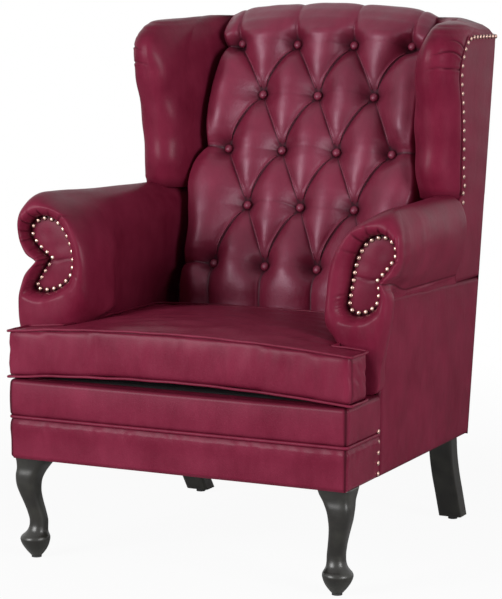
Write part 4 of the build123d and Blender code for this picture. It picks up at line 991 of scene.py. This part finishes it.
class CHAIR_OT_back(bpy.types.Operator):
    """Tufted back pad with its covered buttons"""

    bl_idname = "chair.back"
    bl_label = "Buttoned back"

    def execute(self, context):
        points, fold, lips = back_surface(context.scene.chair_sizes)
        shape = Shape().grid(points, fold=fold)
        for side in (0, -1):
            edge = points[:, side]
            behind = edge + np.array([0.0, 1.0, 0.0]) * (rear_y(edge[:, 2], 42) - edge[:, 1]).clip(0.5)[:, None]
            shape.grid(np.stack([edge, edge * 0.5 + behind * 0.5, behind], axis=1), fold=None)
        piece = shape.build("tufted_back", outward=(0, -1, 0))
        settle(piece, "chair", "leather", "rubbed_leather", "back_pad", padded=0.7)
        tucks = Shape()
        for path in lips:
            tucks.grid(tube(path, 1.5, 8), wrap=True, start=True, end=True)
        settle(tucks.build("pleat_edges"), "chair", "leather", "rubbed_leather")
        heads = Shape()
        normal = np.array([0, -math.cos(PLANE_TILT), math.sin(PLANE_TILT)])
        for _, _, x, z in button_places():
            place = np.array([x, button_y(z), z]) + normal * 0.5
            head = dome(place, normal, BUTTON_RADIUS, BUTTON_RISE, sides=20, rings=7, brim=2.0)
            heads.grid(head, wrap=True, end=True)
        buttons = heads.build("covered_buttons", outward=(0, -1, 0))
        settle(buttons, "chair", "leather", "rubbed_leather", "back_buttons", padded=0.9)
        return {"FINISHED"}


class CHAIR_OT_wings(bpy.types.Operator):
    """Padded wings with gathers at their top corners"""

    bl_idname = "chair.wings"
    bl_label = "Wings"

    def execute(self, context):
        points, fold = wing_surface()
        for side, mirror in SIDES:
            shape = Shape().grid(points, wrap=True, fold=fold, end=True, start=True, mirror=mirror)
            piece = shape.build(side + "_wing")
            settle(piece, *LEATHER, side + "_wing_pad", padded=0.8)
        return {"FINISHED"}


class CHAIR_OT_arms(bpy.types.Operator):
    """Scroll arms: puffed rim with gathers, roll, and inside wall"""

    bl_idname = "chair.arms"
    bl_label = "Arms"

    def execute(self, context):
        for side, mirror in SIDES:
            arm, arm_shade = arm_surface(context.scene.chair_sizes, side)
            board, board_shade = facing_surface(side)
            piece = Shape().grid(arm, fold=arm_shade, end=True, mirror=mirror).build(side + "_scroll_arm")
            settle(piece, *LEATHER, side + "_arm_pad", padded=0.8)
            face = Shape().grid(board, fold=board_shade, mirror=mirror)
            face = face.build(side + "_facing", outward=(0, -1, 0), merge=0.01)
            settle(face, *LEATHER, side + "_arm_facing", padded=0.9)
        return {"FINISHED"}


class CHAIR_OT_covers(bpy.types.Operator):
    """Outside covers of the arms, the wings and the back"""

    bl_idname = "chair.covers"
    bl_label = "Outside covers"

    def execute(self, context):
        def arm_front(z):
            return np.where(z < 377, -247.0, -247 + 35 * (np.asarray(z, float) - 377) / 191)

        arm, arm_shade = panel(arm_front, lambda z: rear_y(z, 1.0), SEAT_BOTTOM, lambda y: 568 - 0.0318 * (y + 212))
        wing, wing_shade = panel(wing_edge_y, lambda z: rear_y(z, 1.0), 552.0, lambda y: WING_SIDE_TOP + 0 * y,
                                columns=60, rows=120, bulge=1.5, seed=62)
        for side, mirror in SIDES:
            away = (-1, 0, 0) if mirror else (1, 0, 0)
            for name, points, fold, node in (("arm_side", arm, arm_shade, "_outside_arm"),
                                             ("wing_side", wing, wing_shade, "_outside_wing")):
                piece = Shape().grid(points, fold=fold, mirror=mirror).build(side + "_" + name, outward=away)
                settle(piece, *LEATHER, side + node, padded=0.9)
        u = np.linspace(-1, 1, 120)[None, :]
        v = np.linspace(0, 1, 120)[:, None]
        x = HALF_WIDTH * u + 0 * v
        z = SEAT_BOTTOM + (arch_z(x, TOP_ROLL_DROP) - SEAT_BOTTOM) * v
        near = np.minimum((1 - np.abs(u)) * HALF_WIDTH + 0 * v, np.minimum(v, 1 - v) * 880)
        roll = np.clip(near / 7, 0, 1)
        depth = 7 * (1 - np.sqrt(np.clip(1 - (1 - roll) ** 2, 0, 1)))
        dome_out = 3.0 * (1 - u**4) * np.sin(math.pi * v) ** 0.6
        dome_out = dome_out + 0.6 * waves(x, z, 71, 8, 150.0) * np.clip(near / 40, 0, 1)
        back = np.stack([x, rear_y(z, 0) - depth + dome_out, z], axis=-1)
        # Painted shade: darker where the back cover rolls in at its rim.
        piece = Shape().grid(back, fold=0.8 * np.exp(-near / 5)).build("back_cover", outward=(0, 1, 0))
        settle(piece, *LEATHER, "outside_back", padded=0.9)
        return {"FINISHED"}


class CHAIR_OT_borders(bpy.types.Operator):
    """Seat borders, and the piping between them"""

    bl_idname = "chair.borders"
    bl_label = "Seat borders"

    def execute(self, context):
        path = seat_path(7, count=700)
        seam = corner_seam(path)
        steps = np.concatenate([[0], np.cumsum(np.linalg.norm(np.diff(path, axis=0), axis=1))])
        t = np.linspace(0, 1, 34)
        rounding = 1 - (2 * t - 1) ** 2
        drop = BORDER_TOP - PIPING_Z - 1
        heights = BORDER_TOP - drop * t
        pucker = waves(steps[None, :], 40 * t[:, None], 81, 9, 34.0) * bell(t[:, None] - 0.97, 0.2)
        soft = 0.8 * waves(steps[None, :] * 0.5, 30 * t[:, None], 82, 6, 70.0)
        outs = -6 + 6 * np.clip(rounding * 3.2, 0, 1) ** 0.5 + 2.6 * rounding
        upper = strip(path, outs, heights, puff=0.45 * pucker + 0.5 * soft - 1.4 * seam)
        # Painted shade: darker towards the upper border's top and bottom edges, and along the seams at the front
        # corners.
        fold = 0.9 * np.exp(-np.minimum(t, 1 - t)[:, None] * drop / 4) + 0.9 * seam
        rear = strip(path, [-34, -6], [BORDER_TOP, BORDER_TOP])
        piece = Shape().grid(rear).grid(upper, fold=fold).build("upper_border", outward=(0, -1, 0), merge=0.02)
        settle(piece, *LEATHER, "upper_seat_border", padded=0.9)

        t = np.linspace(0, 1, 44)
        drop = PIPING_Z - 1 - SEAT_BOTTOM
        heights = PIPING_Z - 1 - drop * t
        pucker = waves(steps[None, :], 25 * t[:, None], 83, 12, 26.0) * bell(t[:, None] - 0.16, 0.15)
        outs = -6 + 6 * np.clip(t * 7, 0, 1) ** 0.5 + 2.2 * bell(t - 0.22, 0.2) - 5 * ease(0.9, 1.0, t) ** 2
        soft = waves(steps[None, :] * 0.5, 30 * t[:, None], 84, 6, 90.0)
        lower = strip(path, outs, heights, puff=0.6 * pucker + 0.5 * soft - 1.4 * seam)
        # Painted shade: darker at the lower border's top edge under the piping, and along the seams at the front
        # corners.
        fold = 0.9 * np.exp(-t[:, None] * drop / 4) + 0.9 * seam
        under = strip(path, [-5, -26], [SEAT_BOTTOM, SEAT_BOTTOM + 0.2])
        piece = Shape().grid(lower, fold=fold).grid(under).build("lower_border", outward=(0, -1, 0), merge=0.02)
        settle(piece, *LEATHER, "lower_seat_border", padded=0.9)

        line = np.concatenate([seat_path(8, inset=1.2), np.full((260, 1), PIPING_Z)], axis=1)
        cord = Shape().grid(tube(line, 3.4, 12), wrap=True, start=True, end=True).build("piping")
        settle(cord, *LEATHER, "border_piping")
        return {"FINISHED"}


class CHAIR_OT_cushion(bpy.types.Operator):
    """Loose T-shaped seat cushion with welts"""

    bl_idname = "chair.cushion"
    bl_label = "Seat cushion"

    def execute(self, context):
        look = context.scene.chair_sizes
        line = cushion_line()
        bottom, top = cushion_heights(line[:, 0], line[:, 1])
        centre = np.array([0.0, -336.0])
        r = np.linspace(1, 0.02, 40)[:, None]
        x = centre[0] + (line[None, :, 0] - centre[0]) * r
        y = centre[1] + (line[None, :, 1] - centre[1]) * r
        rim_bottom, rim_top = cushion_heights(x, y)
        away = 1 - r
        body = 1 - np.clip(np.abs(x) / CUSHION_INNER, 0, 1) ** 2
        mid = np.sin(np.clip((y - CUSHION_FRONT) / (CUSHION_REAR - CUSHION_FRONT), 0, 1) * math.pi)
        crown = 22 * body * mid ** 0.8
        over = np.stack([x, y, rim_top + crown * ease(0, 0.3, away)], axis=-1)
        under = np.stack([x, y, rim_bottom], axis=-1)
        s = np.linspace(0, 1, 16)[:, None]
        waist = 2.0 * np.sin(math.pi * s)
        inward = (centre - line) / np.linalg.norm(centre - line, axis=1, keepdims=True)
        side_xy = line[None] + inward[None] * waist[..., None]
        side = np.concatenate([side_xy, (top[None] + (bottom - top)[None] * s)[..., None]], axis=-1)
        shape = Shape().grid(over[::-1], wrap=True, start=True).grid(side, wrap=True).grid(under, wrap=True, end=True)
        piece = shape.build("seat_cushion_leather", merge=0.05)
        swell_cushion(piece, look.cushion_cap)
        dress_cushion(piece)
        settle(piece, "seat_cushion", "leather", "chair_leather", "seat_cushion", padded=0.7)

        welts = Shape()
        for heights, lift in ((top, 1.0), (bottom, -0.5)):
            wave = 0.5 * waves(line[:, 0], line[:, 1], 91, 6, 60.0)
            path = np.concatenate([line - inward * 0.8, (heights + lift + wave)[:, None]], axis=1)
            welts.grid(tube(path, 2.7, 10, closed=True), wrap=True)
        cord = welts.build("cushion_welts", merge=0.01)
        settle(cord, "seat_cushion", "leather", "chair_leather")
        return {"FINISHED"}


def vertex_values(mesh, key):
    """A value of every vertex, such as co or normal, in three columns."""
    values = np.empty(len(mesh.vertices) * 3)
    mesh.vertices.foreach_get(key, values)
    return values.reshape(-1, 3)


def swell_cushion(piece, cap):
    """Fills the cushion: an even remesh, then a short cloth run under pressure with its seams held, and no point
    farther than the cap from where it was. One subdivision finishes it."""
    remesh = piece.modifiers.new("even", "REMESH")
    remesh.mode = "VOXEL"
    remesh.voxel_size = 0.0072
    bake(piece)
    start = vertex_values(piece.data, "co")
    count = len(start)
    bottom, top = cushion_heights(start[:, 0] / MM, start[:, 1] / MM)
    high = start[:, 2] / MM
    line = cushion_line(count=260)
    flat = start[:, :2] / MM
    to_rim = np.full(count, 1e3)
    for part in np.array_split(np.arange(count), 24):
        to_rim[part] = np.sqrt(((flat[part, None] - line[None]) ** 2).sum(-1)).min(1)
    held = (to_rim < 9) & ((np.abs(high - top) < 7) | (np.abs(high - bottom) < 7))
    group = piece.vertex_groups.new(name="seams")
    group.add([int(k) for k in np.nonzero(held)[0]], 1.0, "REPLACE")
    puff = piece.modifiers.new("puff", "CLOTH")
    puff.settings.effector_weights.gravity = 0
    for key, value in (("vertex_group_mass", "seams"), ("use_pressure", True), ("uniform_pressure_force", 3.0),
                       ("quality", 5), ("tension_stiffness", 12), ("compression_stiffness", 12),
                       ("bending_stiffness", 3)):
        setattr(puff.settings, key, value)
    puff.point_cache.frame_start, puff.point_cache.frame_end = 1, CLOTH_FRAMES
    for step in range(1, CLOTH_FRAMES + 1):
        bpy.context.scene.frame_set(step)
    bake(piece)
    bpy.context.scene.frame_set(1)
    piece.vertex_groups.clear()
    shift = vertex_values(piece.data, "co") - start
    length = np.linalg.norm(shift, axis=1, keepdims=True)
    limit = cap * MM
    shift *= np.where(length > 1e-9, limit * np.tanh(length / limit) / np.maximum(length, 1e-9), 0)
    piece.data.vertices.foreach_set("co", (start + shift).reshape(-1))
    piece.data.update()
    smooth = piece.modifiers.new("smooth", "SUBSURF")
    smooth.levels = smooth.render_levels = 1
    bake(piece)
    piece.data.shade_smooth()


def bake(piece):
    """Applies the piece's modifiers: the evaluated mesh takes the place of the old one."""
    view = bpy.context.evaluated_depsgraph_get()
    view.update()
    fresh = bpy.data.meshes.new_from_object(piece.evaluated_get(view), depsgraph=view)
    old = piece.data
    piece.modifiers.clear()
    piece.data = fresh
    bpy.data.meshes.remove(old)


def dress_cushion(piece):
    """Creases of use: short upright wrinkles on the front boxing and the ears, and soft creases over the top. Painted
    shade darkens the boxing along the welts and in an upright line at each front corner seam.
    """
    mesh = piece.data
    spots = vertex_values(mesh, "co") / MM
    normal = vertex_values(mesh, "normal")
    x, y, z = spots.T
    boxing = 1 - ease(0.35, 0.75, np.abs(normal[:, 2]))
    bottom, top = cushion_heights(x, y)
    mid = np.clip(1 - ((z - (top + bottom) / 2) / 48) ** 2, 0, 1)
    wrinkle = waves(x, z * 0.22, 101, 12, 26.0) * mid * boxing * 0.7
    ear = ease(372, 378, np.abs(x)) * boxing
    wrinkle += waves(y * 0.9 + z * 0.7, z * 0.5 - y * 0.3, 102, 8, 30.0) * ear * mid * 1.2
    on_top = ease(0.6, 0.9, normal[:, 2])
    wrinkle += on_top * (0.9 * waves(x * 0.35, y, 103, 8, 60.0) + 0.6 * waves(x, y, 104, 8, 120.0))
    shift = wrinkle * (z > bottom + 4)
    spots = spots + normal * shift[:, None]
    mesh.vertices.foreach_set("co", (spots * MM).reshape(-1))
    # Painted shade: darker along the welts at the top and bottom of the boxing, and in an upright line at each front
    # corner seam.
    near = np.exp(-np.minimum(np.abs(z - top), np.abs(z - bottom)) / 4.0) * boxing * 0.7
    seam = 0.8 * bell(y + 398, 2.0) * (np.abs(x) > 372) * boxing
    if "fold" in mesh.attributes:
        mesh.attributes.remove(mesh.attributes["fold"])
    fold = mesh.attributes.new("fold", "FLOAT", "POINT")
    fold.data.foreach_set("value", np.clip(near + seam, 0, 1).astype(np.float32))
    mesh.update()


class CHAIR_OT_nails(bpy.types.Operator):
    """Domed nails of the facings, the wings and the seat"""

    bl_idname = "chair.nails"
    bl_label = "Nails"

    def execute(self, context):
        facing_nails = {}
        for side, outline in FACINGS.items():
            ring = along(loop(outline)[:-1], 400, closed=True)
            tangent = np.roll(ring, -1, 0) - np.roll(ring, 1, 0)
            square = np.stack([-tangent[:, 1], tangent[:, 0]], axis=1)
            square /= np.linalg.norm(square, axis=1, keepdims=True)
            inside = ring + 5 * square * np.sign(np.sum(square * (FACING_MIDDLE - ring), axis=1).mean())
            spots = along(inside, FACING_NAILS, closed=True)
            facing_nails[side] = [((x, FACING_Y - 2.2, z), (0, -1, 0)) for x, z in spots]
        z = np.concatenate([np.linspace(703, 990, 200), np.linspace(990, 1071.8, 160)])
        edge = np.stack([wing_edge_y(np.where(z > WING_FOOT, z, WING_FOOT + 2)) + 6, z], axis=1)
        edge[:, 0] = np.where(z < 745, 205.0, edge[:, 0])
        line = np.vstack([edge[edge[:, 1] < 1066], [(232, 1067.5), (254, 1071.5), (300, 1072), (396, 1072)]])
        wing_spots = along(line, WING_NAILS)
        wing_nails = [((HALF_WIDTH + 0.6, y, z), (1, 0, 0)) for y, z in wing_spots]
        seat_nails = [((HALF_WIDTH - 1.5, -253.0, z), (1, 0, 0)) for z in (222, 243.3, 264.5, 285.8, 307)]
        for name, places, node in (("facing_studs", facing_nails, "_facing_nails"),
                                   ("wing_studs", wing_nails, "_wing_nails"),
                                   ("seat_studs", seat_nails, "_border_nails")):
            for side, mirror in SIDES:
                shape = Shape()
                for place, way in places[side] if "facing" in name else places:
                    head = dome(place, way, FACING_NAIL if "facing" in name else SIDE_NAIL, NAIL_RISE, 14, 5, 0.3)
                    # Painted shade: the two lowest rings of each head, where it meets the leather, are darkened.
                    rim = np.zeros(head.shape[:2])
                    rim[:2] = 0.9
                    shape.grid(head, wrap=True, end=True, fold=rim, mirror=mirror)
                way = (0, -1, 0) if "facing" in name else ((-1, 0, 0) if mirror else (1, 0, 0))
                piece = shape.build(side + "_" + name, outward=way)
                settle(piece, "chair", "nail_brass", "nail_brass", side + node)
        return {"FINISHED"}


class CHAIR_OT_legs(bpy.types.Operator):
    """Cabriole front legs and swept rear legs"""

    bl_idname = "chair.legs"
    bl_label = "Legs"

    def execute(self, context):
        for side, mirror in SIDES:
            for name, points in (("front", cabriole()), ("rear", rear_leg())):
                shape = Shape().grid(points, wrap=True, start=True, end=True, mirror=mirror)
                piece = shape.build(side + "_" + name + "_wood_leg")
                settle(piece, "chair", "leg_wood", "dark_wood", side + "_" + name + "_leg")
        return {"FINISHED"}


class CHAIR_OT_seat(bpy.types.Operator):
    """Padded platform under the cushion, and the dust cover under the seat"""

    bl_idname = "chair.seat"
    bl_label = "Seat platform"

    def execute(self, context):
        outline = np.array([(366, -402), (366, -252), (302, -244), (302, 240), (-302, 240), (-302, -244), (-366, -252),
                            (-366, -402)], float)
        line = along(outline, 400, closed=True)
        r = np.linspace(1, 0, 24)[:, None]
        x, y = line[None, :, 0] * r, -300 + (line[None, :, 1] + 300) * r
        z = 371 + 8.5 * (1 - r**6) + 0 * x
        top = np.stack([x, y, z], axis=-1)
        wall = np.stack([np.concatenate([line, np.full((400, 1), h)], axis=1) for h in (338.0, 355.0, 371.0)])
        piece = Shape().grid(wall, wrap=True).grid(top, wrap=True).build("seat_platform", outward=(0, 0, 1), merge=0.02)
        settle(piece, "chair", "black_cloth", "black_cloth", "seat_deck", padded=0.8)
        u = np.linspace(-1, 1, 60)[None, :]
        v = np.linspace(0, 1, 60)[:, None]
        x, y = 367 * u + 0 * v, -403 + (264 + 403) * v + 0 * u
        z = 213.4 - 0.9 * (1 - u**2) * np.sin(math.pi * v)
        sheet = Shape().grid(np.stack([x, y, z], axis=-1)).build("dust_cloth", outward=(0, 0, -1))
        settle(sheet, "chair", "black_cloth", "black_cloth", "dust_cover")
        return {"FINISHED"}


class CHAIR_OT_kept(bpy.types.Operator):
    """Finishes of the pieces that keep their own shape"""

    bl_idname = "chair.kept"
    bl_label = "Frame finishes"

    def execute(self, context):
        finishes = {"hidden_frame_wood": "frame_wood", "spring_steel": "spring_steel", "webbing": "jute_webbing",
                    "glide_plastic": "glide_plastic", "leg_wood": "dark_wood", "black_cloth": "black_cloth",
                    "leather": "chair_leather", "nail_brass": "nail_brass"}
        slots = {part["node"]: part["material_slot"] for part in frame["record"]["subparts"]}
        for node, piece in frame["nodes"].items():
            piece.data.materials.clear()
            piece.data.materials.append(finish_of(finishes[slots[node]]))
        return {"FINISHED"}


class CHAIR_OT_stage(bpy.types.Operator):
    """Pale floor, soft lamps and the camera"""

    bl_idname = "chair.stage"
    bl_label = "Studio"

    def execute(self, context):
        scene = context.scene
        u = np.linspace(-9000, 9000, 5)
        x, y = np.meshgrid(u, u)
        floor = Shape().grid(np.stack([x, y, 0 * x], axis=-1)).build("floor", outward=(0, 0, 1))
        finish = Finish("studio_floor")
        seen = finish.add("ShaderNodeLightPath", out=0)
        away = finish.add("ShaderNodeVectorMath", {"operation": "LENGTH"}, {0: finish.spot()}, out="Value")
        far = ((away - 0.9) / 1.6).clamp()
        paper = finish.add("ShaderNodeBsdfDiffuse", {}, {"Color": (0.8, 0.8, 0.8, 1)})
        bright = finish.add("ShaderNodeEmission", {}, {"Color": (1, 1, 1, 1), "Strength": 1.0})
        white = finish.add("ShaderNodeMixShader", {}, {0: seen * (0.94 + far * 0.06), 1: paper, 2: bright})
        finish.add("ShaderNodeOutputMaterial", {}, {"Surface": white})
        floor.data.materials.append(finish.made)

        finish = Finish("studio", "worlds")
        scene.world = finish.made
        seen, mirrored, through = (finish.add("ShaderNodeLightPath", out=ray)
                                   for ray in ("Is Camera Ray", "Is Glossy Ray", "Is Transmission Ray"))
        room, white = (finish.add("ShaderNodeBackground", {}, {"Color": (1, 1, 1, 1), "Strength": strength})
                       for strength in (ROOM_LIGHT, 1.0))
        light = finish.add("ShaderNodeMixShader", {}, {0: seen.max(mirrored).max(through), 1: room, 2: white})
        finish.add("ShaderNodeOutputWorld", {}, {"Surface": light})

        for name, spot, aim, size, watts in LAMPS:
            data = bpy.data.lights.new(name, "AREA")
            data.shape = "SQUARE"
            data.size = size
            data.energy = watts
            lamp = bpy.data.objects.new(name, data)
            scene.collection.objects.link(lamp)
            lamp.location = spot
            lamp.rotation_euler = (Vector(aim) - Vector(spot)).to_track_quat("-Z", "Y").to_euler()

        yaw, pitch, roll = (math.radians(angle) for angle in CAMERA_ANGLES)
        forward = Vector((-math.sin(yaw) * math.cos(pitch), math.cos(yaw) * math.cos(pitch), -math.sin(pitch)))
        right = Vector((math.cos(yaw), math.sin(yaw), 0))
        upward = right.cross(forward)
        right, upward = (right * math.cos(roll) + upward * math.sin(roll),
                         upward * math.cos(roll) - right * math.sin(roll))
        turned = Matrix((right, upward, -forward)).transposed().to_4x4()
        data = bpy.data.cameras.new("camera")
        data.lens = CAMERA_LENS
        data.sensor_width = 36
        data.sensor_fit = "AUTO"
        camera = bpy.data.objects.new("camera", data)
        scene.collection.objects.link(camera)
        camera.matrix_world = Matrix.Translation(CAMERA_PLACE) @ turned
        scene.camera = camera
        scene.view_settings.view_transform = "Standard"
        return {"FINISHED"}


OPERATORS = (CHAIR_OT_kept, CHAIR_OT_back, CHAIR_OT_wings, CHAIR_OT_arms, CHAIR_OT_covers, CHAIR_OT_borders,
             CHAIR_OT_cushion, CHAIR_OT_nails, CHAIR_OT_legs, CHAIR_OT_seat, CHAIR_OT_stage)


class CHAIR_PT_panel(bpy.types.Panel):
    """Pieces of the armchair"""

    bl_idname = "CHAIR_PT_panel"
    bl_label = "Armchair"
    bl_space_type = "VIEW_3D"
    bl_region_type = "UI"
    bl_category = "Armchair"

    def draw(self, context):
        for group in (context.scene.chair_finishes, context.scene.chair_sizes):
            box = self.layout.box()
            for name in group.bl_rna.properties.keys():
                if name not in ("rna_type", "name"):
                    box.prop(group, name)
        for operator in OPERATORS:
            self.layout.operator(operator.bl_idname)


CLASSES = (ChairFinishes, ChairSizes, *OPERATORS, CHAIR_PT_panel)


def register():
    """Makes the settings, operators and panel known."""
    for kind in CLASSES:
        bpy.utils.register_class(kind)
    bpy.types.Scene.chair_finishes = bpy.props.PointerProperty(type=ChairFinishes)
    bpy.types.Scene.chair_sizes = bpy.props.PointerProperty(type=ChairSizes)


def unregister():
    """Takes them away again."""
    del bpy.types.Scene.chair_sizes
    del bpy.types.Scene.chair_finishes
    for kind in reversed(CLASSES):
        bpy.utils.unregister_class(kind)


def main():
    """Builds every piece and the studio."""
    register()
    for operator in OPERATORS:
        group, name = operator.bl_idname.split(".")
        getattr(getattr(bpy.ops, group), name)()


if __name__ == "__main__":
    main()
